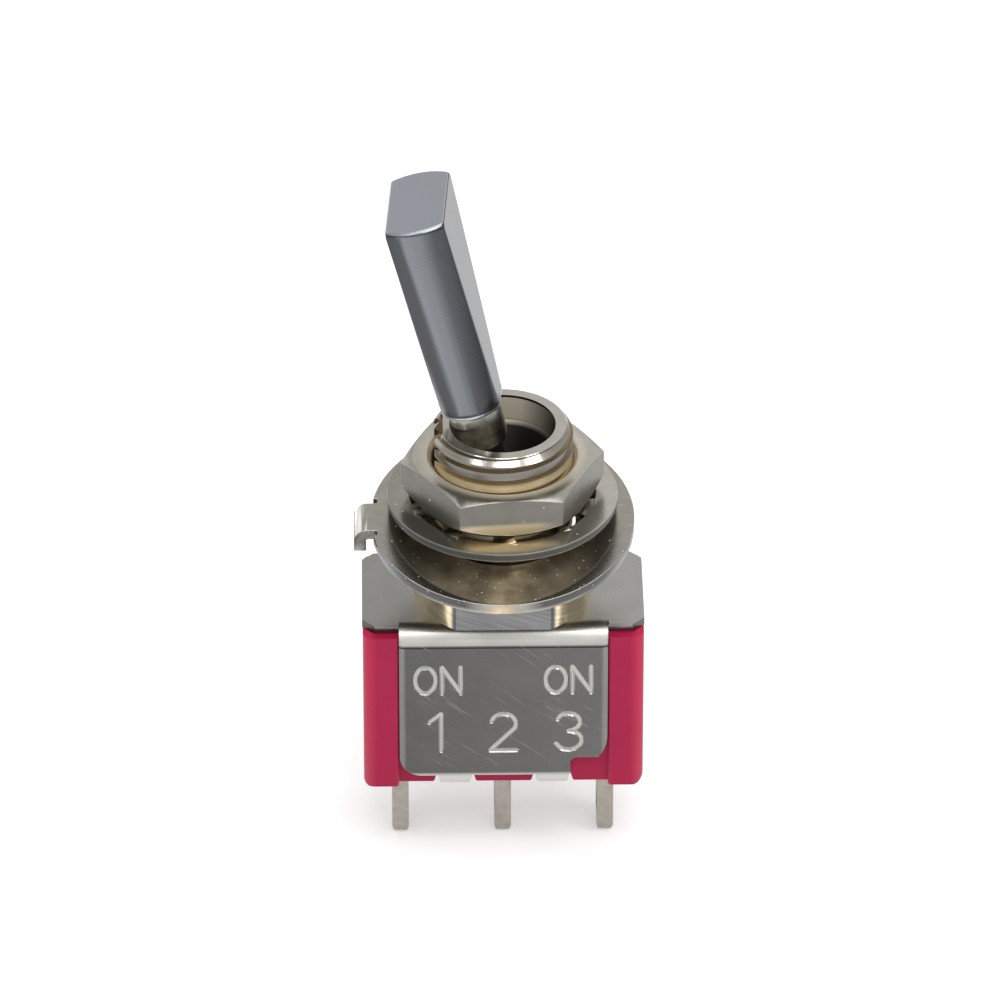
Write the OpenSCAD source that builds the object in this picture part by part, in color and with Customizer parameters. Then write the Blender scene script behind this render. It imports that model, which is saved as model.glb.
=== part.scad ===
// Sub-miniature panel toggle switch, single pole, double throw.
// Millimetres. The origin is on the bushing's axis, on the top face of the frame plate.
// +Z runs up the bushing, the lever swings in the XZ plane, -Y is the front.
// The lever is drawn leaning towards -X, with the rocker pressed down on the +X contact.

/* [Case] */
// Length of the moulded case along X
case_w = 12.7; // [10.6:0.1:16]
// Depth over the end pillars along Y
case_d = 6.86; // [6.7:0.02:9]
// Height of the case below the frame plate
case_h = 8.15; // [6.7:0.05:10]
// Thickness of the side and end walls
case_wall = 0.85; // [0.6:0.05:1.1]
// Thickness of the floor, with the pocket for the seal
floor_t = 1.25; // [1:0.05:1.5]
// Depth of the seal's pocket in the floor, the wall round it and how far it is left unfilled
seal_pocket = 0.7; // [0.4:0.05:0.8]
pocket_wall = 1.45; // [1.2:0.05:1.7]
seal_sink = 0.12; // [0.05:0.01:0.2]
// Width of each proud end pillar along X
pillar_w = 1.6; // [1:0.05:2]
// Radius of the pillars' upright edges, towards the strap and at the case's corners
pillar_edge_r = [0.18, 0.5];
// Radius of the case's lower corners at its left and right ends
case_corner_r = [0.25, 0.5];

/* [Frame] */
// Thickness of the folded sheet
sheet_t = 0.4; // [0.3:0.05:0.5]
// Outside radius where the plate bends into a strap
strap_bend_r = 0.85; // [0.6:0.05:0.9]
// Distance from the pillars' face back to the plate's edge, and how far its ends lap the case
plate_setback = 0.43; // [0.2:0.01:0.7]
plate_lap = 0.02; // [0:0.01:0.1]
// Corner chamfer of the plate
plate_chamfer = 0.55; // [0.2:0.05:1]
// Height of case left showing below each strap
strap_short = 0.63; // [0.58:0.01:1.2]
// Length and height of the notch in one lower corner of each strap
strap_notch = [1.68, 0.95];
// Radius of the plain lower corner and of the notched one
strap_corner_r = [1, 1.65];
// Height over which the notched corner is rounded
strap_corner_rise = 1.1; // [0.5:0.1:1.5]
// Width and depth of the roll on the straps' sheared side edges
strap_roll = [0.26, 0.08];
// Places of the two fold-under tabs along X
tab_x = [-2.2, 2.22];
// Width of a tab where it leaves the strap and at its fold
tab_w = [1.5, 0.98];
// Outside radius of a tab's fold
tab_bend_r = 0.55; // [0.45:0.05:0.7]
// Room beside a tab at the top and bottom of the pocket that it folds into
pocket_side = [0.05, 0.2];
// Length of the flat foot under the case
tab_foot = 0.55; // [0.3:0.05:0.7]

/* [Bushing] */
// Major diameter of the threaded bushing
bushing_d = 6.35; // [5.3:0.05:7.62]
// Height of the bushing above the plate
bushing_h = 8.89; // [7.4:0.05:10.7]
// Chamfer at the bushing's top and at its boss
bushing_chamfer = 0.3; // [0.1:0.05:0.4]
// Width of the boss's shoulder round the thread
boss_shoulder = 0.8; // [0.5:0.05:1.1]
// Height of the boss
boss_h = 1.6; // [1.2:0.05:1.9]
// Distance from the pillars' face back to the boss's flats
boss_flat_setback = 0.06; // [0:0.01:0.4]
// Wall left round the open top of the bore
rim_wall = 0.78; // [0.6:0.02:0.9]
// Depth of the open top of the bore
bore_depth = 1.3; // [1:0.05:1.6]
// Width and depth of the keyway on the -X side
keyway = [1.7, 0.5];
// Wall of the flat-sided spigot that is swaged under the plate
spigot_wall = 0.36; // [0.3:0.02:0.4]
// Width and thickness of the swaged rim
swage = [0.15, 0.3];

/* [Lever] */
// Tilt of the lever away from the bushing's axis, in degrees
lever_tilt = 13; // [10.8:0.1:15.6]
// Depth of the pivot below the bushing's top
pivot_depth = 4.69; // [4.5:0.01:5]
// Radius of the ball that the lever turns on
ball_r = 1.945; // [1.7:0.005:2.1]
// Radius of the lever's stem
stem_r = 0.85; // [0.7:0.05:0.95]
// Length of the neck above the bushing's rim and inside the bushing
neck_len = [1.12, 0.86];
// Radius and length of the tang inside the handle
tang = [0.8, 4];
// Length of the handle
handle_len = 10.85; // [9:0.05:13]
// Diameter of the handle at its foot and at its top
handle_d = [3, 5.27];
// Distance between the handle's flats
handle_flat = 2.68; // [2.2:0.02:3.2]
// Turn of the handle on the lever, in degrees
handle_turn = -4; // [-10:1:10]
// Bevel turned round the handle's top
handle_bevel = 0.15; // [0.1:0.01:0.4]
// Outer radius of the lower socket tube
tube_r = 1.1; // [0.95:0.05:1.2]
// Radius of the pivot pin, and how far each end runs in its slot
pin_r = 0.4; // [0.3:0.05:0.5]
pin_bite = 0.45; // [0.3:0.05:0.6]

/* [Plunger] */
// Radius of the plunger and of its round tip
plunger_r = 0.69; // [0.6:0.01:0.75]
// Distance from the tube's end to the centre of the plunger's tip
plunger_out = 1.1; // [0.9:0.05:1.4]
// Length of the plunger guided inside the tube
plunger_guide = 1.4; // [1:0.05:2]
// Radius and length of the pip that centres the spring
plunger_pip = [0.36, 0.7];
// Length that the spring takes in the tube
spring_len = 2.4; // [2:0.1:3]
// Radius of the spring's wire
wire_r = 0.1; // [0.08:0.01:0.12]
// Number of turns
spring_turns = 6; // [4:1:7]

/* [Contacts] */
// Distance from an end terminal's centre to the case's end face
terminal_margin = 1.65; // [1.5:0.05:2]
// Thickness along X and width along Y of a terminal
terminal_t = 0.76; // [0.6:0.02:0.8]
terminal_w = 1.9; // [1.6:0.05:2.1]
// Length of the terminals below the case
terminal_tail = 4.4; // [3:0.1:5.3]
// Width and height of the bevels at a terminal's tip
terminal_bevel = [0.1, 0.45];
// Radius of the tip's corners
tip_corner_r = 0.55; // [0.2:0.05:0.8]
// Inside radius of an end terminal's bend, and its shelf's margin past the contact
lug_bend = 0.15; // [0.1:0.05:0.3]
shelf_margin = 0.05; // [0:0.01:0.2]
// Radius of the wire hole and its height above the tip
eye_r = 0.6; // [0.5:0.05:0.65]
eye_rise = 1.35; // [1.2:0.05:1.6]
// Depth of the fulcrum's centre below the plate's top
fulcrum_depth = 4.6; // [4.5:0.05:4.8]
// Slope of the rocker's arms and its tilt at each end, in degrees
arm_slope = 14; // [12:0.5:16]
rocker_tilt = 7; // [6:0.1:8]
// Thickness of the rocker's strip
rocker_t = 0.45; // [0.35:0.05:0.5]
// Distance from a pad's edge to the end of its arm
arm_margin = 0.2; // [0.1:0.05:0.3]
// How far in from the rocker's side a prong begins and ends, and its height over the V
prong_inset = [0.75, 0.2];
prong_rise = 0.25; // [0.15:0.05:0.3]
// Height of the V's bottom over the fulcrum's centre
rocker_rise = 0.85; // [0.8:0.05:1]
// Wall of the rocker's saddle beside the fulcrum, and its height over the fulcrum's centre
saddle = [0.4, 0.12];
// Distance of the pads in from the end terminals
pad_inset = 1.3; // [1.2:0.05:1.4]
// Radius and thickness of a pad
pad = [0.75, 0.3];
// Width and height of the heads that shanks of pads and contacts are peened to
peening = [0.12, 0.12];
// Radius and height of a contact rivet's head
rivet = [0.8, 0.35];
// Radius of the head's crown
crown_r = 1.2; // [1:0.05:2]

/* [Panel hardware] */
// Height of the nut's underside above the plate, and its thickness
nut_z = 5.36; // [5.3:0.01:5.4]
nut_t = 1.95; // [1.6:0.05:2]
// Least wall of the nut, from the thread to a flat
nut_wall = 0.82; // [0.6:0.02:1.2]
// Slope of the chamfers on the nut's corners, in degrees
nut_chamfer = 20; // [15:1:30]
// Turn of the nut on the thread, in degrees
nut_turn = 5; // [0:1:59]
// Height of the lock washer's underside
washer_z = 4.88; // [4.85:0.01:4.9]
// Thickness of the washer, width of its rim and length of its teeth
washer_t = 0.38; // [0.3:0.02:0.4]
washer_rim = 1; // [0.7:0.05:1.2]
tooth_len = 1; // [0.8:0.05:1.1]
// Half width of a tooth at its root and its tip, and what the twist takes off its thickness
tooth_half = [0.62, 0.38];
tooth_thinned = 0.06; // [0.04:0.01:0.1]
// Number of teeth and their twist in degrees
teeth = 10; // [8:1:12]
tooth_twist = 12; // [5:1:14]
// Height of the locking ring's top at the bushing's axis
ring_z = 3.95; // [3.9:0.01:4]
// Thickness of the ring and width of its flange
ring_t = 0.55; // [0.5:0.01:0.6]
ring_flange = 2.65; // [2.4:0.05:3]
// Lean of the loose ring, front edge down, in degrees
ring_lean = 9; // [7:0.5:9]
// Width, drop and overhang of the ring's anti-turn tab
ring_tab = [1.85, 1.25, 0.75];
// Depth and width of the reliefs cut in the rim beside the tab
tab_relief = [0.3, 0.28];
// Side and end clearance of the ring's key in the bushing's keyway
key_gap = 0.1; // [0.05:0.01:0.15]

/* [Clearances] */
// Radial clearance of pins, the ball and the plunger
run_gap = 0.03; // [0.02:0.005:0.05]
// Gap between parts that are fixed together
seat_gap = 0.01; // [0.01:0.005:0.03]
// Gap between a strap and the pillars beside it
strap_gap = 0.03; // [0.02:0.01:0.06]
// Gap between hardware and the thread's crests
thread_gap = 0.02; // [0.01:0.005:0.04]
// Gap between the washer's teeth and the nut's bore line
tooth_gap = 0.05; // [0.03:0.01:0.08]
// Gap from the leaning neck to the bushing's rim, where it stops
stop_gap = 0.12; // [0.08:0.01:0.2]
// Gap between the plunger's tip and the upright rocker
tip_gap = 0.14; // [0.13:0.01:0.2]
// Gap between a pad and the contact that it closes on
contact_gap = 0.04; // [0.03:0.01:0.06]
// Gap from the tilted stem and tube to the bores round them
sweep_gap = 0.08; // [0.05:0.01:0.12]
// Side clearance of the rocker in the case and round the prongs
rocker_gap = 0.2; // [0.15:0.01:0.3]
// Gap between the spring's wire and what it bears on
wire_gap = 0.02; // [0.01:0.005:0.04]

/* [Hidden] */
$fn = 64;
eps = 0.01;
far = 40;

case_red = [0.74, 0.10, 0.25];
steel = [0.66, 0.66, 0.64];
nickel = [0.78, 0.75, 0.68];
satin_chrome = [0.56, 0.58, 0.62];
tinned_brass = [0.70, 0.67, 0.60];
silver = [0.85, 0.85, 0.84];
nylon = [0.92, 0.90, 0.84];
potting = [0.20, 0.10, 0.08];

// Case and frame
case_top = -sheet_t;
case_bottom = case_top - case_h;
face_y = case_d / 2;
core_y = face_y - sheet_t - seat_gap;
cavity_x = case_w / 2 - case_wall;
cavity_y = core_y - case_wall;
floor_z = case_bottom + floor_t;
pocket_z = case_bottom + seal_pocket;
pocket_y = core_y - pocket_wall;
strap_x = case_w / 2 - pillar_w - strap_gap;
plate_x = case_w / 2 + plate_lap;
plate_y = face_y - plate_setback;
bend_y = face_y - strap_bend_r;
strap_bottom = case_bottom + strap_short;
tab_fold_y = face_y - tab_bend_r;

// Bushing
thread_r = bushing_d / 2;
boss_r = thread_r + boss_shoulder;
boss_flat_y = face_y - boss_flat_setback;
pivot_z = bushing_h - pivot_depth;
top_bore_r = thread_r - rim_wall;
socket_r = ball_r + run_gap;
throat_r = swept_r(ball_r, stem_r);
swage_bottom = case_top - swage[1];
spigot_bore_r = swept_r(pivot_z - swage_bottom, tube_r);
spigot_r = spigot_bore_r + spigot_wall;
skirt_y = socket_r + seat_gap;
spigot_y = skirt_y + spigot_wall;
pin_half = socket_r + pin_bite;

// Lever
neck_at = pivot_depth / cos(lever_tilt);
neck_r = top_bore_r - stop_gap - pivot_depth * tan(lever_tilt);
neck_edge = 0.15;
neck_low = neck_at - neck_len[1];
handle_at = neck_at + neck_len[0];

// Rocker and plunger
fulcrum_z = -fulcrum_depth;
fulcrum_r = terminal_t / 2;
terminal_x = case_w / 2 - terminal_margin;
tip_z = bottom_clear(plunger_r + tip_gap);
tip_reach = pivot_z - tip_z;
tube_reach = tip_reach - plunger_out;
pad_x = terminal_x - pad_inset;
arm_x = pad_x + pad[0] + arm_margin;
rocker_y = cavity_y - rocker_gap;
prong_y = rocker_y * [1, 1] - prong_inset;
prong_top = fulcrum_z + rocker_rise + prong_rise;
notch_x = fulcrum_r + rocker_gap + (rocker_rise + prong_rise) * sin(rocker_tilt);

// Hardware
hardware_r = thread_r + thread_gap;
nut_af = bushing_d + 2 * nut_wall;
tooth_root_r = hardware_r + tooth_len;
washer_r = tooth_root_r + washer_rim;
ring_bore_r = (thread_r + ring_t * sin(ring_lean) + seat_gap) / cos(ring_lean);
ring_r = ring_bore_r + ring_flange;

// Radius that a round bar of radius r sweeps, leaning, at a distance h from its pivot
function swept_r(h, r) = h * tan(lever_tilt) + r / cos(lever_tilt) + sweep_gap;

// Height of the centre of a ball of radius r that lies in the level rocker's V
function bottom_clear(r) = fulcrum_z + rocker_rise + r / cos(arm_slope);

// A point [x, z] of the level rocker, turned down on the +X side about the fulcrum
function rocked(p) = [
    p[0] * cos(rocker_tilt) + p[1] * sin(rocker_tilt),
    fulcrum_z - p[0] * sin(rocker_tilt) + p[1] * cos(rocker_tilt)
];

// Height of the level rocker's underside at a distance x from its middle
function arm_underside(x) = rocker_rise + x * tan(arm_slope) - rocker_t / cos(arm_slope);

// The middle of a pad's face when that side is down, the crown's centre under it and
// the height of the contact's top
pad_face = rocked([
    pad_x + pad[1] * sin(arm_slope),
    arm_underside(pad_x) - pad[1] * cos(arm_slope)
]);
crown_at = pad_face + (crown_r + contact_gap)
    * [sin(arm_slope - rocker_tilt), -cos(arm_slope - rocker_tilt)];
contact_top = crown_at[1] + crown_r;
shelf_z = contact_top - rivet[1];

// Turns a profile drawn in Y and Z into a bar along X
module bar_x(length) {
    translate([-length / 2, 0, 0])
        rotate([90, 0, 90])
            linear_extrude(length)
                children();
}

// Turns a profile drawn in X and Z into a bar along Y
module bar_y(length) {
    translate([0, length / 2, 0])
        rotate([90, 0, 0])
            linear_extrude(length)
                children();
}

module mirrored_x() {
    children();
    mirror([1, 0, 0]) children();
}

module mirrored_y() {
    children();
    mirror([0, 1, 0]) children();
}

// The same thing on the front and, half a turn round, on the back
module front_and_back() {
    children();
    rotate([0, 0, 180]) children();
}

// The quarter of a ring that bends from level to upright, outside towards +x
module bend(outer, thickness, upper = true) {
    turn = upper ? 0 : -90;
    rotate(turn)
        intersection() {
            difference() {
                circle(outer);
                circle(outer - thickness);
            }
            square(outer);
        }
}

// A rectangle from its corner, less round corners at [left, right] of its lower edge
module strap_blank(x0, x1, z0, z1, radii) {
    difference() {
        translate([x0, z0]) square([x1 - x0, z1 - z0]);
        for (side = [0, 1])
            translate([side == 0 ? x0 : x1, z0])
                mirror([side, 0])
                    corner_waste(radii[side]);
    }
}

// What rounding takes off a corner at the origin, the material being towards +x +y;
// the round meets the upright edge smoothly at a height rise, and the level one if
// rise is its radius
module corner_waste(r, rise = undef) {
    h = rise == undef ? r : rise;
    run = r - sqrt(r * r - h * h);
    difference() {
        translate([-eps, -eps]) square([run + eps, h + eps]);
        translate([r, h]) circle(r);
    }
}

// ---------------------------------------------------------------- case

module case() {
    rim_clear = 0.1;
    color(case_red)
        difference() {
            intersection() {
                union() {
                    bar_x(case_w - 2 * pillar_edge_r[1]) case_core_profile();
                    mirrored_x() case_pillar();
                }
                bar_y(far)
                    strap_blank(-case_w / 2, case_w / 2, case_bottom, 0, case_corner_r);
            }
            translate([-cavity_x, -cavity_y, floor_z])
                cube([2 * cavity_x, 2 * cavity_y, far]);
            translate([-cavity_x, -pocket_y, case_bottom - eps])
                cube([2 * cavity_x, 2 * pocket_y, seal_pocket + eps]);
            for (x = [-terminal_x, 0, terminal_x])
                translate([x, 0, 0]) terminal_slot(case_bottom - eps, floor_z + eps);
            translate([-boss_r, -far / 2, swage_bottom - rim_clear])
                cube([2 * boss_r, far, far]);
            front_and_back()
                for (x = tab_x) tab_pocket(x);
        }
}

// The middle of the case, its top edges rounded to lie inside the frame's bends
module case_core_profile() {
    inside_bend = 0.05;
    r = strap_bend_r - sheet_t + inside_bend;
    square_top = case_top - r;
    translate([-core_y, case_bottom]) square([2 * core_y, square_top - case_bottom]);
    translate([-core_y + r, square_top - eps]) square([2 * (core_y - r), r + eps]);
    for (side = [-1, 1])
        translate([side * (core_y - r), square_top]) circle(r);
}

// An end block that stands proud of the straps, with round upright edges
module case_pillar() {
    inner = case_w / 2 - pillar_w;
    translate([0, 0, case_bottom])
        linear_extrude(case_h)
            difference() {
                translate([inner, -face_y]) square([pillar_w, case_d]);
                mirrored_y() {
                    translate([inner, -face_y]) corner_waste(pillar_edge_r[0]);
                    translate([case_w / 2, -face_y])
                        mirror([1, 0])
                            corner_waste(pillar_edge_r[1]);
                }
            }
}

module terminal_slot(z0, z1) {
    translate([-terminal_t / 2 - seat_gap, -terminal_w / 2 - seat_gap, z0])
        cube([terminal_t + 2 * seat_gap, terminal_w + 2 * seat_gap, z1 - z0]);
}

// The trapezoid notch in the case's lower front edge that a tab folds into
module tab_pocket(x) {
    top = case_bottom + tab_bend_r + 2 * seat_gap;
    depth = face_y - tab_fold_y + tab_foot + pocket_side[1] / 2 + pocket_side[0];
    top_x = tab_w[0] / 2 + pocket_side[0];
    low_x = tab_w[0] / 2 + pocket_side[1];
    translate([x, -face_y + depth / 2, 0])
        bar_y(depth)
            polygon([
                [-top_x, top], [top_x, top], [low_x, case_bottom - eps], [-low_x, case_bottom - eps]
            ]);
}

// Potting in the case's underside, round the terminals
module epoxy_seal() {
    color(potting)
        difference() {
            translate([-cavity_x + seat_gap, -pocket_y + seat_gap, case_bottom + seal_sink])
                cube([
                    2 * (cavity_x - seat_gap),
                    2 * (pocket_y - seat_gap),
                    seal_pocket - seal_sink - seat_gap
                ]);
            for (x = [-terminal_x, 0, terminal_x])
                translate([x, 0, 0]) terminal_slot(case_bottom, pocket_z);
        }
}

// ---------------------------------------------------------------- frame

module frame() {
    color(steel)
        difference() {
            union() {
                frame_plate();
                front_and_back() {
                    frame_strap();
                    for (x = tab_x) frame_tab(x);
                }
            }
            translate([0, 0, -sheet_t - eps])
                linear_extrude(sheet_t + 2 * eps)
                    spigot_outline(seat_gap);
        }
}

// The plate between the bends, with its ends reaching out over the pillars
module frame_plate() {
    translate([0, 0, -sheet_t])
        linear_extrude(sheet_t)
            difference() {
                union() {
                    square([2 * strap_x, 2 * bend_y + 2 * eps], center = true);
                    for (side = [-1, 1])
                        translate([side * (strap_x + plate_x) / 2, 0])
                            square([plate_x - strap_x + eps, 2 * plate_y], center = true);
                }
                for (x = [-1, 1], y = [-1, 1])
                    translate([x * plate_x, y * plate_y])
                        rotate(45)
                            square(plate_chamfer * sqrt(2), center = true);
            }
}

// The front strap with its upper bend; one lower corner is round, the other notched
module frame_strap() {
    intersection() {
        bar_x(2 * strap_x)
            mirror([1, 0]) {
                translate([bend_y, -strap_bend_r]) bend(strap_bend_r, sheet_t);
                translate([face_y - sheet_t, strap_bottom])
                    square([sheet_t, -strap_bend_r - strap_bottom]);
            }
        translate([0, -face_y, 0])
            bar_y(2 * face_y)
                strap_outline();
        strap_section();
    }
}

// Section of a strap seen from above, its sheared edges rolled over on the outside
module strap_section() {
    roll_x = strap_x - strap_roll[0];
    roll_y = strap_roll[1] - face_y;
    translate([0, 0, -far])
        linear_extrude(2 * far)
            polygon([
                [-strap_x, 0], [-strap_x, roll_y], [-roll_x, -face_y],
                [roll_x, -face_y], [strap_x, roll_y], [strap_x, 0]
            ]);
}

// Outline of a strap, seen from outside: X to the right, Z up
module strap_outline() {
    fillet = 0.3;
    notch_x0 = strap_x - strap_notch[0];
    notch_z = strap_bottom + strap_notch[1];
    difference() {
        strap_blank(-strap_x, strap_x, strap_bottom, 1, [strap_corner_r[0], 0]);
        translate([notch_x0 + fillet, strap_bottom - eps])
            square([far, strap_notch[1] + eps]);
        translate([notch_x0, strap_bottom - eps])
            square([fillet + eps, strap_notch[1] - fillet + eps]);
        translate([notch_x0 + fillet, notch_z - fillet]) circle(fillet);
        translate([strap_x, notch_z])
            mirror([1, 0])
                corner_waste(strap_corner_r[1], strap_corner_rise);
    }
}

// A tab that runs down from the strap, narrows and folds flat under the case
module frame_tab(x) {
    intersection() {
        translate([x, 0, 0])
            bar_x(tab_w[0])
                mirror([1, 0]) {
                    translate([face_y - sheet_t, case_bottom + tab_bend_r - eps])
                        square([sheet_t, strap_short - tab_bend_r + 0.2]);
                    translate([tab_fold_y, case_bottom + tab_bend_r])
                        bend(tab_bend_r, sheet_t, upper = false);
                    translate([tab_fold_y - tab_foot, case_bottom])
                        square([tab_foot + eps, sheet_t]);
                }
        translate([x, -face_y, 0])
            bar_y(2 * face_y)
                polygon([
                    [-tab_w[0] / 2, strap_bottom + 1], [-tab_w[0] / 2, strap_bottom],
                    [-tab_w[1] / 2, case_bottom - 1], [tab_w[1] / 2, case_bottom - 1],
                    [tab_w[0] / 2, strap_bottom], [tab_w[0] / 2, strap_bottom + 1]
                ]);
    }
}

// ---------------------------------------------------------------- bushing

module bushing() {
    color(nickel)
        difference() {
            union() {
                bushing_boss();
                chamfered_rod(thread_r, bushing_h, bushing_chamfer);
                translate([0, 0, case_top - 2 * seat_gap])
                    linear_extrude(sheet_t + 3 * seat_gap)
                        spigot_outline(0);
                translate([0, 0, swage_bottom])
                    linear_extrude(swage[1] - seat_gap)
                        spigot_outline(swage[0]);
            }
            bushing_bores();
            translate([-thread_r - 1, -keyway[0] / 2, boss_h])
                cube([keyway[1] + 1, keyway[0], far]);
            pin_slots();
        }
}

// The spigot's round outline with a flat in front and behind, grown by a margin
module spigot_outline(margin) {
    intersection() {
        circle(spigot_r + margin);
        square([far, 2 * (spigot_y + margin)], center = true);
    }
}

// The round boss with flats on its front and back
module bushing_boss() {
    intersection() {
        chamfered_rod(boss_r, boss_h, bushing_chamfer / 2);
        translate([-far / 2, -boss_flat_y, 0])
            cube([far, 2 * boss_flat_y, boss_h]);
    }
}

module chamfered_rod(r, h, chamfer) {
    cylinder(r = r, h = h - chamfer);
    translate([0, 0, h - chamfer])
        cylinder(r1 = r, r2 = r - chamfer, h = chamfer);
}

// Open top, funnel, throat, ball socket and the flared skirt that the tube swings in
module bushing_bores() {
    socket_lip = 0.2;
    funnel_foot = pivot_z + socket_r + socket_lip;
    funnel_top = bushing_h - bore_depth;
    skirt_top = pivot_z - socket_r;
    skirt_low = swage_bottom - 1;
    translate([0, 0, funnel_top]) cylinder(r = top_bore_r, h = far);
    translate([0, 0, funnel_foot])
        cylinder(r1 = throat_r, r2 = top_bore_r, h = funnel_top - funnel_foot);
    translate([0, 0, pivot_z]) cylinder(r = throat_r, h = funnel_foot - pivot_z + eps);
    translate([0, 0, pivot_z]) sphere(socket_r);
    translate([0, 0, skirt_top]) cylinder(r = socket_r, h = socket_r);
    intersection() {
        translate([0, 0, skirt_low])
            cylinder(
                r1 = swept_r(pivot_z - skirt_low, tube_r),
                r2 = swept_r(pivot_z - skirt_top, tube_r),
                h = skirt_top - skirt_low + eps
            );
        cube([far, 2 * skirt_y, far], center = true);
    }
}

// Slots, open below, that the pin's two ends slide up into with the ball; they split the
// swaged rim
module pin_slots() {
    slot_r = pin_r + run_gap;
    slot_half = pin_half + run_gap + seat_gap;
    translate([-slot_r, -slot_half, case_top])
        cube([2 * slot_r, 2 * slot_half, pivot_z - case_top]);
    translate([-slot_r, -far / 2, swage_bottom - eps])
        cube([2 * slot_r, far, case_top - swage_bottom]);
    translate([0, slot_half, pivot_z])
        rotate([90, 0, 0])
            cylinder(r = slot_r, h = 2 * slot_half);
}

// ---------------------------------------------------------------- lever

// Places what is drawn along the lever's own axis, its pivot at the origin
module on_lever() {
    translate([0, 0, pivot_z])
        rotate([0, -lever_tilt, 0])
            children();
}

// Turned in one piece: neck, stem, ball and the tube that holds spring and plunger
module lever() {
    color(satin_chrome)
        on_lever()
            difference() {
                union() {
                    sphere(ball_r);
                    cylinder(r = stem_r, h = neck_at);
                    translate([0, 0, handle_at - seat_gap])
                        mirror([0, 0, 1])
                            chamfered_rod(neck_r, handle_at - seat_gap - neck_low, neck_edge);
                    cylinder(r = tang[0], h = handle_at + tang[1]);
                    translate([0, 0, -tube_reach]) cylinder(r = tube_r, h = tube_reach);
                }
                translate([0, 0, -tube_reach - eps])
                    cylinder(
                        r = plunger_r + run_gap,
                        h = plunger_guide + spring_len + eps
                    );
                translate([0, pin_half, 0])
                    rotate([90, 0, 0])
                        cylinder(r = pin_r + seat_gap, h = 2 * pin_half);
            }
}

// Tapered round sleeve with two parallel flats, bored to press on the lever's tang
module handle() {
    bore_spare = 0.2;
    foot_r = handle_d[0] / 2;
    top_r = handle_d[1] / 2;
    b = handle_bevel;
    half = handle_flat / 2;
    bore_r = tang[0] + seat_gap;
    bore_h = tang[1] + bore_spare;
    color(satin_chrome)
        on_lever()
            translate([0, 0, handle_at])
                rotate([0, 0, handle_turn])
                    intersection() {
                        rotate_extrude()
                            polygon([
                                [bore_r, 0], [foot_r, 0], [top_r, handle_len - b],
                                [top_r - b, handle_len], [0, handle_len],
                                [0, bore_h], [bore_r, bore_h]
                            ]);
                        translate([-half, -far / 2, 0])
                            cube([2 * half, far, handle_len]);
                    }
}

module pivot_pin() {
    tip = 0.1;
    color(steel)
        on_lever()
            rotate([90, 0, 0])
                mirrored_z_rod(pin_r, pin_half, tip);
}

// A rod centred on the origin with both its ends chamfered
module mirrored_z_rod(r, half, chamfer) {
    for (flip = [0, 1])
        mirror([0, 0, flip])
            chamfered_rod(r, half, chamfer);
}

module plunger() {
    top = -tube_reach + plunger_guide;
    pip_edge = 0.1;
    color(nylon)
        on_lever() {
            translate([0, 0, -tip_reach]) sphere(plunger_r);
            translate([0, 0, -tip_reach]) cylinder(r = plunger_r, h = tip_reach + top);
            translate([0, 0, top - eps])
                chamfered_rod(plunger_pip[0], plunger_pip[1] + eps, pip_edge);
        }
}

// One ring of points round the wire, at a turn angle a of the coil
function wire_ring(a, sides, coil_r, rise) = [
    for (k = [0 : sides - 1])
        let (b = 360 * k / sides, r = coil_r + wire_r * cos(b))
        [r * cos(a), r * sin(a), rise * a / 360 + wire_r * sin(b)]
];

// A coil swept round a helix, closed at both ends
module coil(coil_r, height, turns) {
    sides = 8;
    per_turn = 20;
    rings = turns * per_turn;
    rise = height / turns;
    points = [for (i = [0 : rings]) each wire_ring(360 * i / per_turn, sides, coil_r, rise)];
    skin = [
        for (i = [0 : rings - 1], k = [0 : sides - 1])
            let (a = i * sides + k, b = i * sides + (k + 1) % sides)
            [a, a + sides, b + sides, b]
    ];
    ends = [
        [for (k = [0 : sides - 1]) k],
        [for (k = [sides - 1 : -1 : 0]) rings * sides + k]
    ];
    polyhedron(points, concat(skin, ends));
}

module plunger_spring() {
    lowest = -tube_reach + plunger_guide + wire_r + wire_gap;
    room = spring_len - 2 * (wire_r + wire_gap);
    color(steel)
        on_lever()
            translate([0, 0, lowest])
                coil(plunger_r - wire_r - wire_gap, room, spring_turns);
}

// ---------------------------------------------------------------- rocker

// Places what is drawn round the level rocker's fulcrum, its +X side down
module on_rocker() {
    translate([0, 0, fulcrum_z])
        rotate([0, rocker_tilt, 0])
            children();
}

// Stands at a pad's place under the arm, +Z out of the arm's upper face
module at_pad(side) {
    mirror([side < 0 ? 1 : 0, 0, 0])
        translate([pad_x, 0, arm_underside(pad_x)])
            rotate([0, -arm_slope, 0])
                children();
}

module rocker() {
    color(silver)
        on_rocker()
            difference() {
                bar_y(2 * rocker_y) rocker_profile();
                mirrored_y()
                    translate([-notch_x, prong_y[0] - rocker_gap, -far / 2])
                        cube([2 * notch_x, far, far]);
                for (side = [-1, 1])
                    at_pad(side)
                        translate([0, 0, -eps])
                            cylinder(r = pad[0] / 2 + seat_gap, h = 1);
            }
}

// A shallow V with a saddle under its middle that sits over the fulcrum
module rocker_profile() {
    lift = arm_x * tan(arm_slope);
    saddle_x = fulcrum_r + saddle[0];
    saddle_z = saddle[1];
    difference() {
        polygon([
            [-arm_x, rocker_rise + lift], [-arm_x, arm_underside(arm_x)],
            [-saddle_x, arm_underside(saddle_x)], [-saddle_x, saddle_z],
            [saddle_x, saddle_z], [saddle_x, arm_underside(saddle_x)],
            [arm_x, arm_underside(arm_x)], [arm_x, rocker_rise + lift],
            [0, rocker_rise]
        ]);
        circle(fulcrum_r + run_gap);
    }
}

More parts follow.
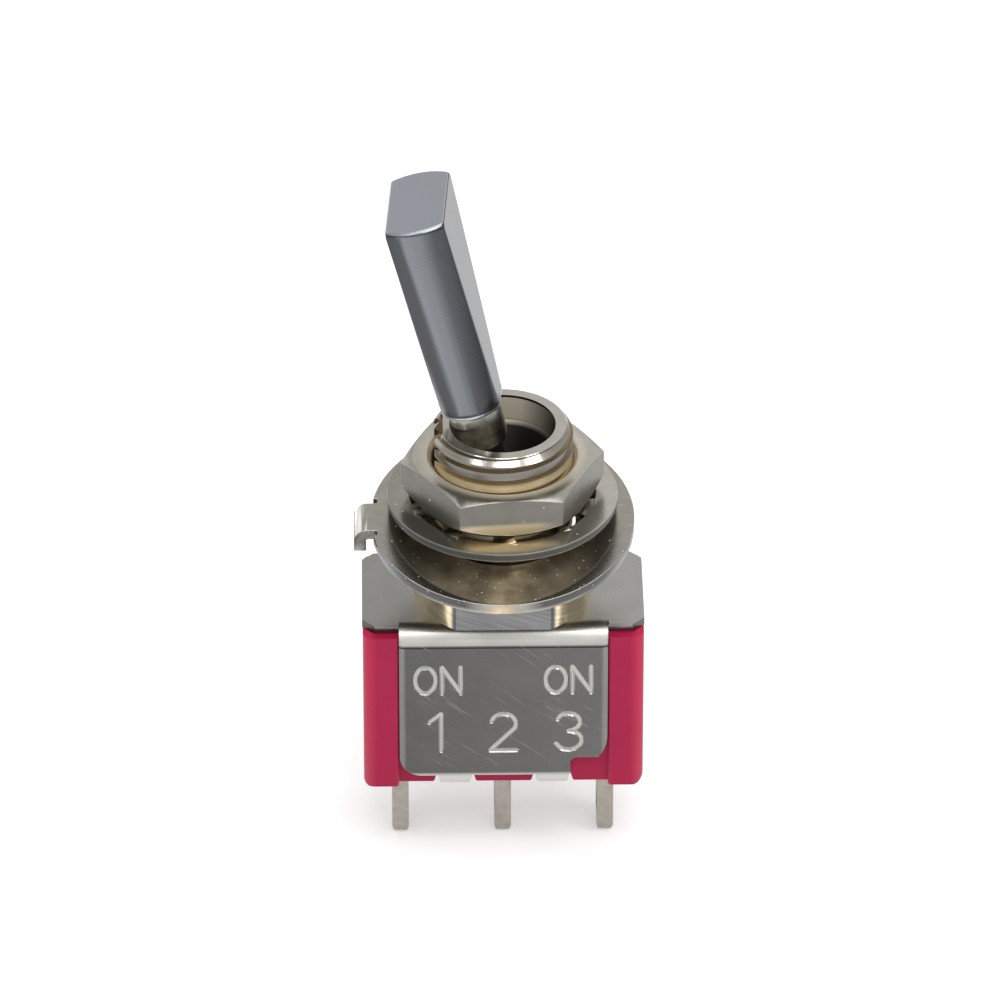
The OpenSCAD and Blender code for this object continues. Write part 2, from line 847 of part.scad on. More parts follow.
// A riveted contact pad: its disc under the arm, its shank through and headed over
module rocker_pad(side) {
    color(silver)
        on_rocker()
            at_pad(side) {
                translate([0, 0, -pad[1]]) cylinder(r = pad[0], h = pad[1] - seat_gap);
                translate([0, 0, -pad[1] / 2])
                    cylinder(r = pad[0] / 2, h = pad[1] / 2 + rocker_t + peening[1]);
                translate([0, 0, rocker_t + seat_gap])
                    cylinder(r1 = pad[0] / 2 + peening[0], r2 = pad[0] / 2, h = peening[1]);
            }
}

module rocker_pad_left() { rocker_pad(-1); }

module rocker_pad_right() { rocker_pad(1); }

// ---------------------------------------------------------------- terminals

// Outline of a solder lug in Y and Z: straight, with a round-cornered tip
module lug_profile(top) {
    r = tip_corner_r;
    tip = case_bottom - terminal_tail;
    half = terminal_w / 2;
    translate([-half, tip + r]) square([terminal_w, top - tip - r]);
    translate([-half + r, tip]) square([terminal_w - 2 * r, r + eps]);
    for (side = [-1, 1])
        translate([side * (half - r), tip + r]) circle(r);
}

module lug(top) {
    difference() {
        bar_x(terminal_t) lug_profile(top);
        translate([-terminal_t, 0, case_bottom - terminal_tail + eye_rise])
            rotate([0, 90, 0])
                cylinder(r = eye_r, h = 2 * terminal_t);
        mirrored_x()
            translate([terminal_t / 2, 0, case_bottom - terminal_tail])
                bar_y(far)
                    polygon([
                        [-terminal_bevel[0], -eps], [eps, -eps], [eps, terminal_bevel[1]],
                        [0, terminal_bevel[1]], [-terminal_bevel[0], 0]
                    ]);
    }
}

// An end terminal: the lug runs up inside and bends in to a shelf for the contact
module terminal_end() {
    bend_r = terminal_t + lug_bend;
    inner = crown_at[0] - rivet[0] - shelf_margin;
    corner_x = terminal_x + terminal_t / 2 - bend_r;
    difference() {
        union() {
            translate([terminal_x, 0, 0]) lug(shelf_z - bend_r + eps);
            bar_y(terminal_w) {
                translate([corner_x, shelf_z - bend_r]) bend(bend_r, terminal_t);
                translate([inner, shelf_z - terminal_t])
                    square([corner_x - inner + eps, terminal_t]);
            }
        }
        translate([crown_at[0], 0, shelf_z - far])
            cylinder(r = rivet[0] / 2 + seat_gap, h = 2 * far);
    }
}

module terminal_right() {
    color(tinned_brass) terminal_end();
}

module terminal_left() {
    color(tinned_brass) mirror([1, 0, 0]) terminal_end();
}

// The middle terminal widens inside the case to the rounded edge that the rocker
// sits on, between two prongs that stand up through the rocker's notches
module terminal_middle() {
    shoulder = floor_z + seat_gap;
    edge_y = prong_y[0];
    color(tinned_brass) {
        lug(fulcrum_z);
        translate([-fulcrum_r, -prong_y[1], shoulder])
            cube([terminal_t, 2 * prong_y[1], fulcrum_z - shoulder]);
        bar_y(2 * prong_y[1])
            translate([0, fulcrum_z]) circle(fulcrum_r);
        mirrored_y()
            translate([-fulcrum_r, edge_y, fulcrum_z - eps])
                cube([terminal_t, prong_y[1] - edge_y, prong_top - fulcrum_z]);
    }
}

// A silver rivet with a crowned head, its shank through the shelf and headed over
module contact(side) {
    color(silver)
        translate([side * crown_at[0], 0, 0]) {
            intersection() {
                translate([0, 0, crown_at[1]]) sphere(crown_r);
                translate([0, 0, shelf_z + seat_gap])
                    cylinder(r = rivet[0], h = rivet[1] * 2);
            }
            translate([0, 0, shelf_z - terminal_t - peening[1]])
                cylinder(r = rivet[0] / 2, h = terminal_t + peening[1] + rivet[1] / 2);
            translate([0, 0, shelf_z - terminal_t - seat_gap - peening[1]])
                cylinder(r1 = rivet[0] / 2, r2 = rivet[0] / 2 + peening[0], h = peening[1]);
        }
}

module contact_left() { contact(-1); }

module contact_right() { contact(1); }

// ---------------------------------------------------------------- panel hardware

// Hexagon nut, both faces chamfered to round corners
module hex_nut() {
    corner_r = nut_af / 2 / cos(30);
    crown = (corner_r - nut_af / 2) * tan(nut_chamfer);
    lead_in = 0.2;
    mouth_r = hardware_r + lead_in;
    color(nickel)
        translate([0, 0, nut_z])
            rotate([0, 0, nut_turn])
                intersection() {
                    cylinder(r = corner_r, h = nut_t, $fn = 6);
                    rotate_extrude()
                        polygon([
                            [mouth_r, 0], [nut_af / 2, 0], [corner_r, crown],
                            [corner_r, nut_t - crown], [nut_af / 2, nut_t],
                            [mouth_r, nut_t], [hardware_r, nut_t - lead_in],
                            [hardware_r, lead_in]
                        ]);
                }
}

// Flat rim with twisted teeth that reach in to the thread
module lock_washer() {
    color(nickel)
        translate([0, 0, washer_z]) {
            difference() {
                cylinder(r = washer_r, h = washer_t);
                translate([0, 0, -eps]) cylinder(r = tooth_root_r, h = washer_t + 2 * eps);
            }
            for (i = [0 : teeth - 1])
                rotate([0, 0, 360 * (i + 0.5) / teeth]) washer_tooth();
        }
}

// One tooth, tapered inwards and twisted about its own length
module washer_tooth() {
    root = tooth_half[0];
    tip = tooth_half[1];
    overlap = 0.12;
    span = tooth_len + overlap - tooth_gap;
    t = washer_t - tooth_thinned;
    translate([tooth_root_r + overlap, 0, washer_t / 2])
        rotate([tooth_twist, 0, 0])
            translate([0, 0, -t / 2])
                linear_extrude(t)
                    polygon([[0, -root], [0, root], [-span, tip], [-span, -tip]]);
}

// Loose keyed ring, leaning, with its inner key in the keyway and its tab bent down
module locking_ring() {
    color(nickel)
        translate([0, 0, ring_z])
            rotate([ring_lean, 0, 0])
                difference() {
                    union() {
                        translate([0, 0, -ring_t])
                            linear_extrude(ring_t) ring_outline();
                        ring_anti_turn_tab();
                    }
                    mirrored_y()
                        translate([-far - ring_r + tab_relief[0], ring_tab[0] / 2, -far / 2])
                            cube([far, tab_relief[1], far]);
                }
}

module ring_outline() {
    key_w = keyway[0] - 2 * key_gap;
    key_tip = thread_r - keyway[1] + key_gap;
    root = 0.3;
    difference() {
        circle(ring_r);
        circle(ring_bore_r);
    }
    translate([-ring_bore_r - root, -key_w / 2])
        square([ring_bore_r + root - key_tip, key_w]);
}

// The tab leaves the rim on the key's side and bends down over the panel's edge hole
module ring_anti_turn_tab() {
    bend_r = ring_t + 0.1;
    root = 0.3;
    outer = ring_r + ring_tab[2];
    mirror([1, 0, 0])
        bar_y(ring_tab[0]) {
            translate([outer - bend_r, -bend_r]) bend(bend_r, ring_t);
            translate([ring_r - root, -ring_t])
                square([outer - bend_r - ring_r + root + eps, ring_t]);
            translate([outer - ring_t, -ring_tab[1]])
                square([ring_t, ring_tab[1] - bend_r + eps]);
        }
}

case();
frame();
bushing();
epoxy_seal();
terminal_left();
terminal_middle();
terminal_right();
contact_left();
contact_right();
hex_nut();
lock_washer();
locking_ring();
lever();
handle();
pivot_pin();
plunger_spring();
plunger();
rocker();
rocker_pad_left();
rocker_pad_right();
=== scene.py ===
"""Panel toggle switch: the looks of a small lever switch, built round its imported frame.

Each operator makes one piece, or one group of like pieces, from the frame's own solids: it
rounds the edges, cuts what the frame leaves plain (the bushing's thread, the stamped marks)
and gives the piece its finish. Lengths are in metres, in the frame's own axes: +Z runs up
the bushing, -Y is the front and the origin is on the plate's top face.
"""

import math
from types import SimpleNamespace

import bmesh
import bpy
from bpy.props import FloatProperty, FloatVectorProperty, PointerProperty
from mathutils import Matrix, Vector
from mathutils.bvhtree import BVHTree


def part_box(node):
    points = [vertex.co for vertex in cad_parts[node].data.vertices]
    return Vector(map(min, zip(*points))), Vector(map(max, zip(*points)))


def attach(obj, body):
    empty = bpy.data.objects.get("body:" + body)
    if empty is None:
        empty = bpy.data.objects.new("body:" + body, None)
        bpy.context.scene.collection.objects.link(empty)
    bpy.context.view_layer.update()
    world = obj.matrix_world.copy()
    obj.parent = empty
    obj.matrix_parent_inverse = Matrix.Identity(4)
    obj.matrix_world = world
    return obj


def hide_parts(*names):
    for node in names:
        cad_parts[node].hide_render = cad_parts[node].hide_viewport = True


bl_info = {
    "name": "Panel Toggle Switch",
    "version": (1, 0, 0),
    "blender": (4, 5, 0),
    "location": "3D View > Sidebar > Switch",
    "description": "Builds the looks of a miniature panel toggle switch",
    "category": "Add Mesh",
}

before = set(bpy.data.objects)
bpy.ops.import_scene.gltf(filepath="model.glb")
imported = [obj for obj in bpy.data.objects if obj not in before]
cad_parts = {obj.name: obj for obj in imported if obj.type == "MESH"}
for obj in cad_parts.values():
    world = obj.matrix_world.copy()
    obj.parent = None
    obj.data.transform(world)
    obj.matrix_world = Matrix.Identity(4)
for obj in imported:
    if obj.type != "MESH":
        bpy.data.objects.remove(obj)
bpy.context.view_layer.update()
MM = 0.001

# What the frame settles, read back from its solids
BUSHING_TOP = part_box("bushing")[1].z
STRAP_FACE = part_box("frame")[0].y
WASHER_REACH = -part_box("lock_washer")[0].y
NUT_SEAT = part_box("hex_nut")[0].z
LEVER_LEAN = math.radians(13)

# The floor lies just clear of the lugs' tips
FLOOR_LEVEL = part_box("terminal_middle")[0].z - 0.002 * MM
FLOOR_HALF = 1.5

# Where the finishes change: above the bushing's shoulder, out from the folds of the frame and
# across its straps
SHOULDER_TOP = 2.2 * MM
FOLDS = 3.2 * MM
PANEL_HALF = 4.4 * MM

# How far the thread runs on past the bushing's top, and the turned outline that the nut keeps
# within, as radii and heights over its seat
THREAD_RUN_OUT = 0.7 * MM
NUT_OUTLINE = ((3.8 * MM, 0), (5.2 * MM, 0.95 * MM), (5.2 * MM, 2.5 * MM))

# Points closer than this are one, in the frame's solids and in what has been cut from them, and
# faces that turn by fewer degrees than this are one flat
SOLID_GAP, SOLID_TURN = 0.0005 * MM, 0.5
CUT_GAP, CUT_TURN = 0.001 * MM, 0.3

# Edges run on into each other below this cosine, a rounding takes at most this share of a short
# edge beside them, and its corners shoot off when they move by more than this share of it
RUN_ON = -0.8
SHORT_SHARE = 0.4
SHOT_SHARE = 0.5

# The camera's lens in millimetres, and how far its aim lies above the origin and to its left
LENS = 326.01
AIM_UP, AIM_LEFT = 4.013 * MM, 0.110 * MM


def linear(colour):
    """The linear RGB of an sRGB colour written as '#RRGGBB'."""
    parts = [int(colour[i : i + 2], 16) / 255 for i in (1, 3, 5)]
    return [p / 12.92 if p <= 0.04045 else ((p + 0.055) / 1.055) ** 2.4 for p in parts]


def rgba(colour):
    """A node socket's value for an sRGB hex colour, or for three linear numbers."""
    return (*(linear(colour) if isinstance(colour, str) else colour), 1.0)


def add(tree, kind, inputs=None, **settings):
    """Adds a node: settings are its attributes, inputs its values or the sockets that feed it."""
    node = tree.nodes.new(kind)
    for key, value in settings.items():
        setattr(node, key, value)
    for key, value in (inputs or {}).items():
        if isinstance(value, bpy.types.NodeSocket):
            tree.links.new(value, node.inputs[key])
        else:
            node.inputs[key].default_value = value
    return node


# ---------------------------------------------------------------- sizes and colours


class SwitchThread(bpy.types.PropertyGroup):
    """The thread on the bushing"""

    radius: FloatProperty(
        name="Radius", description="Radius over the crests", default=3.175 * MM, unit="LENGTH"
    )
    pitch: FloatProperty(
        name="Pitch", description="Distance from crest to crest", default=0.635 * MM, unit="LENGTH"
    )
    depth: FloatProperty(
        name="Depth", description="Depth of the groove", default=0.44 * MM, unit="LENGTH"
    )
    start: FloatProperty(
        name="Start", description="Height at which the groove begins", default=SHOULDER_TOP,
        unit="LENGTH",
    )


class SwitchEdges(bpy.types.PropertyGroup):
    """How far each kind of piece has its edges rounded"""

    turned: FloatProperty(
        name="Turned", description="Edges of turned metal", default=0.14 * MM, unit="LENGTH"
    )
    pressed: FloatProperty(
        name="Pressed", description="Edges of pressed sheet", default=0.05 * MM, unit="LENGTH"
    )
    moulded: FloatProperty(
        name="Moulded", description="Edges of the moulded case", default=0.08 * MM, unit="LENGTH"
    )


class SwitchMarks(bpy.types.PropertyGroup):
    """The plain marks stamped in the front strap"""

    stroke: FloatProperty(
        name="Stroke", description="Radius of the round groove that a stroke leaves",
        default=0.145 * MM, unit="LENGTH",
    )
    depth: FloatProperty(
        name="Depth", description="Depth of a stroke", default=0.09 * MM, unit="LENGTH"
    )
    word_height: FloatProperty(
        name="Word height", description="Height of the letters", default=1.4 * MM, unit="LENGTH"
    )
    word_level: FloatProperty(
        name="Word level", description="Height of the letters' feet",
        default=-3.4 * MM, unit="LENGTH",
    )
    number_height: FloatProperty(
        name="Number height", description="Height of the numbers",
        default=2.0 * MM, unit="LENGTH",
    )
    number_level: FloatProperty(
        name="Number level", description="Height of the numbers' feet",
        default=-6.55 * MM, unit="LENGTH",
    )
    spread: FloatProperty(
        name="Spread", description="Distance from the middle mark to the outer ones",
        default=2.95 * MM, unit="LENGTH",
    )


class SwitchColours(bpy.types.PropertyGroup):
    """Base colours of the finishes"""

    case: FloatVectorProperty(
        name="Case", description="Moulded thermoset", size=3, min=0, max=1,
        default=linear("#B21347"), subtype="COLOR",
    )
    sheet: FloatVectorProperty(
        name="Sheet", description="Tinned sheet steel", size=3, min=0, max=1,
        default=linear("#B9B8B4"), subtype="COLOR",
    )
    nickel: FloatVectorProperty(
        name="Nickel", description="Nickel plate", size=3, min=0, max=1,
        default=linear("#C2BEB4"), subtype="COLOR",
    )
    chrome: FloatVectorProperty(
        name="Chrome", description="Satin chrome of the handle", size=3, min=0, max=1,
        default=linear("#95999F"), subtype="COLOR",
    )


class SwitchStage(bpy.types.PropertyGroup):
    """Camera and light"""

    elevation: FloatProperty(
        name="Elevation", description="Camera's height as an angle",
        default=math.radians(33.775), subtype="ANGLE",
    )
    azimuth: FloatProperty(
        name="Azimuth", description="Camera's turn from the front",
        default=math.radians(-0.8924), subtype="ANGLE",
    )
    distance: FloatProperty(
        name="Distance", description="Camera's distance from the origin",
        default=410.79 * MM, unit="LENGTH",
    )
    top: FloatProperty(
        name="Top", description="Power of the large overhead light, in watts", default=0.6
    )
    front: FloatProperty(
        name="Front", description="Power of the light above the camera, in watts", default=0.69
    )
    side: FloatProperty(
        name="Side", description="Power of the small light at the right, in watts", default=0.32
    )
    left: FloatProperty(
        name="Left", description="Power of the small light at the left, in watts", default=0.14
    )
    back: FloatProperty(
        name="Back", description="Power of the panel behind, in watts", default=0.17
    )
    back_left: FloatProperty(
        name="Back left", description="Power of the panel behind at the left, in watts",
        default=0.25,
    )
    lift: FloatProperty(
        name="Lift", description="How much the floor is lifted towards white", default=0.4
    )
    room: FloatProperty(
        name="Room", description="Strength of the room's own light", default=0.46
    )


# ---------------------------------------------------------------- mesh helpers


def new_object(name, mesh):
    """Puts a mesh in the scene as an object at the origin."""
    obj = bpy.data.objects.new(name, mesh)
    bpy.context.scene.collection.objects.link(obj)
    return obj


def merged_copy(name, node):
    """A copy of a frame solid with its loose triangles joined and its flats made whole."""
    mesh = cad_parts[node].data.copy()
    mesh.materials.clear()
    mesh.name = name
    bm = bmesh.new()
    bm.from_mesh(mesh)
    bmesh.ops.remove_doubles(bm, verts=bm.verts, dist=SOLID_GAP)
    bmesh.ops.dissolve_limit(
        bm, angle_limit=math.radians(SOLID_TURN), verts=bm.verts, edges=bm.edges
    )
    bm.to_mesh(mesh)
    bm.free()
    if mesh.has_custom_normals:
        mesh.attributes.remove(mesh.attributes["custom_normal"])
    return new_object(name, mesh)


def settle(obj):
    """Makes an object's live modifiers part of its mesh."""
    bpy.context.view_layer.update()
    evaluated = obj.evaluated_get(bpy.context.evaluated_depsgraph_get())
    mesh = bpy.data.meshes.new_from_object(evaluated)
    obj.modifiers.clear()
    obj.data = mesh
    return obj


def share_room(mesh, width, angle):
    """Marks each sharp edge with its share of the rounding. Edges that run on into each other
    keep one share, and a short edge beside the run makes it less."""
    bm = bmesh.new()
    bm.from_mesh(mesh)
    share = bm.edges.layers.float.new("bevel_weight_edge")
    sharp = {e for e in bm.edges if len(e.link_faces) == 2 and e.calc_face_angle() > angle}
    while sharp:
        run, waiting, room = [], [sharp.pop()], width
        while waiting:
            edge = waiting.pop()
            run.append(edge)
            for vert in edge.verts:
                along = (edge.other_vert(vert).co - vert.co).normalized()
                for other in vert.link_edges:
                    side = other.other_vert(vert).co - vert.co
                    if other == edge:
                        continue
                    if along.dot(side.normalized()) < RUN_ON:
                        if other in sharp:
                            sharp.discard(other)
                            waiting.append(other)
                    elif any(face in edge.link_faces for face in other.link_faces):
                        room = min(room, SHORT_SHARE * side.length)
        for edge in run:
            edge[share] = room / width
    bm.to_mesh(mesh)
    bm.free()


def round_edges(obj, width, angle=32, segments=2):
    """Rounds every edge sharper than an angle in degrees."""
    sharp = obj.data
    plain = BVHTree.FromPolygons(
        [v.co.copy() for v in sharp.vertices], [tuple(p.vertices) for p in sharp.polygons]
    )
    share_room(sharp, width, math.radians(angle))
    bevel = obj.modifiers.new("Edges", "BEVEL")
    bevel.width = width
    bevel.segments = segments
    bevel.limit_method = "WEIGHT"
    bevel.use_clamp_overlap = False
    bevel.miter_outer = "MITER_SHARP"
    settle(obj)
    # Where two runs meet almost in line, a corner can shoot off: it goes back to the surface
    for vert in obj.data.vertices:
        nearest, normal, _, distance = plain.find_nearest(vert.co)
        if distance > SHOT_SHARE * width or (vert.co - nearest).dot(normal) > CUT_GAP:
            vert.co = nearest
    return obj


def tidy_mesh(obj):
    """Joins what lies very close after a cut, and makes flats whole again."""
    bm = bmesh.new()
    bm.from_mesh(obj.data)
    bmesh.ops.remove_doubles(bm, verts=bm.verts, dist=CUT_GAP)
    bmesh.ops.dissolve_degenerate(bm, edges=bm.edges, dist=SOLID_GAP)
    bmesh.ops.dissolve_limit(
        bm, angle_limit=math.radians(CUT_TURN), verts=bm.verts, edges=bm.edges
    )
    bm.to_mesh(obj.data)
    bm.free()
    return obj


def smooth(obj, angle=35):
    """Shades an object smooth but for sharp edges, each normal after the largest face by it."""
    obj.data.shade_smooth()
    obj.data.set_sharp_from_angle(angle=math.radians(angle))
    weigh = obj.modifiers.new("Weigh", "WEIGHTED_NORMAL")
    weigh.weight = 100
    weigh.keep_sharp = True
    return settle(obj)


def turned_solid(name, profile, steps=96):
    """A closed solid turned about the Z axis from points of (radius, height), bottom to top."""
    points = [(0, 0, profile[0][1])]
    for radius, height in profile:
        points += [
            (radius * math.cos(2 * math.pi * i / steps), radius * math.sin(2 * math.pi * i / steps),
             height)
            for i in range(steps)
        ]
    points.append((0, 0, profile[-1][1]))
    top, last = len(points) - 1, len(profile) - 1
    faces = []
    for i in range(steps):
        j = (i + 1) % steps
        faces.append((0, 1 + j, 1 + i))
        for row in range(last):
            low, high = 1 + row * steps, 1 + (row + 1) * steps
            faces.append((low + i, low + j, high + j, high + i))
        faces.append((top, 1 + last * steps + i, 1 + last * steps + j))
    mesh = bpy.data.meshes.new(name)
    mesh.from_pydata(points, [], faces)
    return new_object(name, mesh)


def keep_inside(obj, solid):
    """Cuts away what stands out of another solid, which is used up."""
    cut = obj.modifiers.new("Inside", "BOOLEAN")
    cut.operation = "INTERSECT"
    cut.solver = "EXACT"
    cut.object = solid
    settle(obj)
    bpy.data.objects.remove(solid)
    return obj


def finish_piece(obj, material, body, slot, *nodes):
    """Gives a piece its finish and body, and lets it stand for frame solids; its slot is not used.
    """
    obj.data.materials.clear()
    obj.data.materials.append(material)
    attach(obj, body)
    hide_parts(*nodes)


def run_nodes(obj, tree, **values):
    """Runs a geometry tree on an object with its inputs set by name, and keeps the result."""
    modifier = obj.modifiers.new(tree.name, "NODES")
    modifier.node_group = tree
    for item in tree.interface.items_tree:
        if item.item_type == "SOCKET" and item.in_out == "INPUT" and item.name in values:
            modifier[item.identifier] = values[item.name]
    return settle(obj)


# ---------------------------------------------------------------- finishes

# Readings between which a surface stops being upright, where the painted shade on upright faces
# fades out, and the span in X over which painted shade darkens the plating towards −X
UPRIGHT = (0.15, 0.45)
LEFT_SHADE_SPAN = (-5 * MM, 4 * MM)


def new_finish(name):
    """A new material with its emptied tree and the piece's own coordinates."""
    material = bpy.data.materials.new(name)
    material.use_nodes = True
    tree = material.node_tree
    tree.nodes.clear()
    return material, tree, add(tree, "ShaderNodeTexCoord").outputs["Object"]


def surface(tree, inputs, relief=None):
    """Ends a finish with its shader, and with a fine relief of (height, depth, strength)."""
    if relief:
        height, depth, strength = relief
        bump = add(
            tree, "ShaderNodeBump", {"Height": height, "Distance": depth, "Strength": strength}
        )
        inputs = {**inputs, "Normal": bump.outputs["Normal"]}
    body = add(tree, "ShaderNodeBsdfPrincipled", inputs)
    add(tree, "ShaderNodeOutputMaterial", {"Surface": body.outputs["BSDF"]})


def gauges(tree, place):
    """What a finish's zones go by: the place's axes, its distances across and out from the
    middle planes and from the Z axis, and the surface's own turn to either side, its tilt
    upwards and how level it lies."""
    axes = add(tree, "ShaderNodeSeparateXYZ", {"Vector": place}).outputs
    normal = add(tree, "ShaderNodeTexCoord").outputs["Normal"]
    faces = add(tree, "ShaderNodeSeparateXYZ", {"Vector": normal}).outputs
    flat = add(tree, "ShaderNodeCombineXYZ", {"X": axes["X"], "Y": axes["Y"]})
    radius = add(tree, "ShaderNodeVectorMath", {0: flat.outputs[0]}, operation="LENGTH")
    across, out, turn, level = (
        add(tree, "ShaderNodeMath", {0: signed}, operation="ABSOLUTE").outputs[0]
        for signed in (axes["X"], axes["Y"], faces["X"], faces["Z"])
    )
    return SimpleNamespace(
        x=axes["X"], y=axes["Y"], z=axes["Z"], across=across, out=out,
        radius=radius.outputs["Value"], turn=turn, tilt=faces["Z"], level=level,
    )


def where(tree, *zones):
    """A mask that holds where all its zones do. A zone is another mask, or a gauge with the
    readings between which it comes in and its strength, or, where its edge is hard, a gauge
    with a comparison and its limits."""
    mask = None
    for zone in zones:
        if isinstance(zone, tuple) and isinstance(zone[1], str):
            gauge, comparison, *limits = zone
            values = dict(enumerate((gauge, *limits)))
            zone = add(tree, "ShaderNodeMath", values, operation=comparison).outputs[0]
        elif isinstance(zone, tuple):
            gauge, start, end, strength = (*zone, 1.0)[:4]
            zone = add(
                tree, "ShaderNodeMapRange",
                {"Value": gauge, "From Min": start, "From Max": end, "To Max": strength},
            ).outputs[0]
        if mask is not None:
            zone = add(tree, "ShaderNodeMath", {0: mask, 1: zone}, operation="MULTIPLY").outputs[0]
        mask = zone
    return mask


def paint(tree, tone, look, *zones):
    """Lays a look over a tone where all the zones hold."""
    return add(
        tree, "ShaderNodeMix", {"Factor": where(tree, *zones), "A": tone, "B": look},
        data_type="RGBA",
    ).outputs["Result"]


def shaded(tree, tone, gauge, start, end, low, high=1.0):
    """Makes a tone lighter or darker as a gauge runs from one reading to another."""
    shade = add(
        tree, "ShaderNodeMapRange",
        {"Value": gauge, "From Min": start, "From Max": end, "To Min": low, "To Max": high},
    )
    return add(
        tree, "ShaderNodeVectorMath", {0: tone, "Scale": shade.outputs[0]}, operation="SCALE"
    ).outputs[0]


def set_stops(ramp, *stops):
    """Gives a colour ramp its stops in order, each a position and a grey or a colour."""
    steps = ramp.color_ramp.elements
    steps[0].position, steps[1].position = stops[0][0], stops[-1][0]
    for position, _ in stops[1:-1]:
        steps.new(position)
    for step, (_, look) in zip(steps, stops):
        step.color = rgba([look] * 3 if isinstance(look, float) else look)


def scaled(colour, factor):
    """A colour made lighter or darker, as a node socket's value."""
    return rgba([min(1, c * factor) for c in colour])


def clouds(tree, place, size, colour, low, high):
    """Patches of a size, and a colour that drifts between two strengths over them."""
    noise = add(
        tree, "ShaderNodeTexNoise", {"Vector": place, "Scale": 1 / size, "Detail": 4}
    ).outputs["Fac"]
    return noise, paint(tree, scaled(colour, low), scaled(colour, high), noise)


def dust(tree, place, spacing, share, tone, metal):
    """Pale specks of lint and metal dust strewn over a tone, and the metallic share, which
    they take away."""
    cells = add(tree, "ShaderNodeTexVoronoi", {"Vector": place, "Scale": 1 / spacing}).outputs
    chance = add(tree, "ShaderNodeSeparateColor", {"Color": cells["Color"]}).outputs["Red"]
    reach = where(tree, (chance, 1 - share, 1.0, 0.2))
    speck = where(tree, (cells["Distance"], "LESS_THAN", reach))
    shine = add(tree, "ShaderNodeMath", {0: metal, 1: speck}, operation="SUBTRACT", use_clamp=True)
    return paint(tree, tone, rgba("#CFCBC0"), speck), shine.outputs[0]


def moulded_thermoset(colour):
    """Diallyl phthalate, pressed in a polished mould: an even, faintly mottled colour with a
    soft gloss, and a painted highlight that makes its outer sides paler."""
    material, tree, place = new_finish("Moulded diallyl phthalate")
    at = gauges(tree, place)
    _, tone = clouds(tree, place, 2 * MM, colour, 0.86, 1.1)
    # Painted highlight: paler towards the outer sides of the case
    tone = paint(tree, tone, rgba("#DC3A5C"), (at.across, 5.7 * MM, 6.1 * MM, 0.5))
    # The grain of the resin, drawn coarse enough to show
    grain = add(tree, "ShaderNodeTexNoise", {"Vector": place, "Scale": 9 / MM, "Detail": 2})
    surface(
        tree, {"Base Color": tone, "Roughness": 0.45, "IOR": 1.5, "Specular IOR Level": 0.3},
        (grain.outputs["Fac"], 0.004 * MM, 0.5),
    )
    return material


def tinned_sheet(colour):
    """Cold-rolled steel sheet, tin plated: a satin grey with a fine grain and a few scratches;
    painted shade darkens its upright straps, and painted highlights lighten its bends, tabs and
    borders."""
    material, tree, place = new_finish("Tin plated sheet steel")
    at = gauges(tree, place)
    # The rolling grain is drawn coarse enough to show
    grain, tone = clouds(tree, place, 0.09 * MM, colour, 0.82, 1.16)
    _, patches = clouds(tree, place, 1.6 * MM, (0.8, 0.8, 0.8), 0.95, 1.4)
    tone, highlight_tone = (
        add(tree, "ShaderNodeVectorMath", {0: under, 1: patches}, operation="MULTIPLY").outputs[0]
        for under in (tone, scaled(colour, 1.75)[:3])
    )
    # Painted shade: upright faces are darker, and the sheet darkens towards −X
    tone = shaded(tree, tone, at.level, 0.05, 0.3, 0.32)
    tone = shaded(tree, tone, at.x, *LEFT_SHADE_SPAN, 0.8)
    highlight_tone = shaded(tree, highlight_tone, at.level, 0.0, 0.4, 0.58)
    # Painted highlights: the bends over the case, the tabs at the straps' feet and the straps'
    # side borders are lighter than the panel between them
    strap = where(tree, (at.out, "GREATER_THAN", FOLDS))
    tabs = where(tree, (at.z, -7.75 * MM, -8.0 * MM))
    light = where(tree, (at.z, -0.86 * MM, -0.78 * MM), (at.tilt, 0.985, 0.94), strap)
    border = where(tree, (at.across, PANEL_HALF, PANEL_HALF + 0.15 * MM, 0.3), strap)
    for part in (tabs, border):
        light = add(tree, "ShaderNodeMath", {0: light, 1: part}, operation="MAXIMUM").outputs[0]
    tone = paint(tree, tone, highlight_tone, light)
    tone = paint(tree, tone, scaled(colour, 1.25), tabs)
    # Painted highlight: the bottoms of the stamped strokes are lighter
    tone = paint(
        tree, tone, scaled(colour, 1.3),
        (at.out, -STRAP_FACE - 0.005 * MM, -STRAP_FACE - 0.05 * MM, 0.6),
        (at.across, "LESS_THAN", PANEL_HALF), (at.z, "LESS_THAN", -1.0 * MM), strap,
    )
    # A fine dark line is painted where the panel begins
    tone = paint(
        tree, tone, rgba("#3A3935"), (at.z, "COMPARE", -0.93 * MM, 0.04 * MM), strap
    )
    # Rub marks: thin faint streaks that lean over
    leant = add(tree, "ShaderNodeMapping", {"Vector": place, "Rotation": (0, 0.9, 0)})
    along = add(
        tree, "ShaderNodeMapping",
        {"Vector": leant.outputs[0], "Scale": (7 / MM, 1 / MM, 0.5 / MM)},
    )
    streaks = add(tree, "ShaderNodeTexNoise", {"Vector": along.outputs[0], "Scale": 1, "Detail": 3})
    tone = paint(tree, tone, rgba("#C9C7C0"), (streaks.outputs["Fac"], 0.64, 0.74, 0.14))
    frosted = add(tree, "ShaderNodeMapRange", {"Value": light, "To Min": 0.28, "To Max": 0.48})
    surface(
        tree, {"Base Color": tone, "Metallic": 1, "Roughness": frosted.outputs[0]},
        (grain, 0.004 * MM, 0.6),
    )
    return material


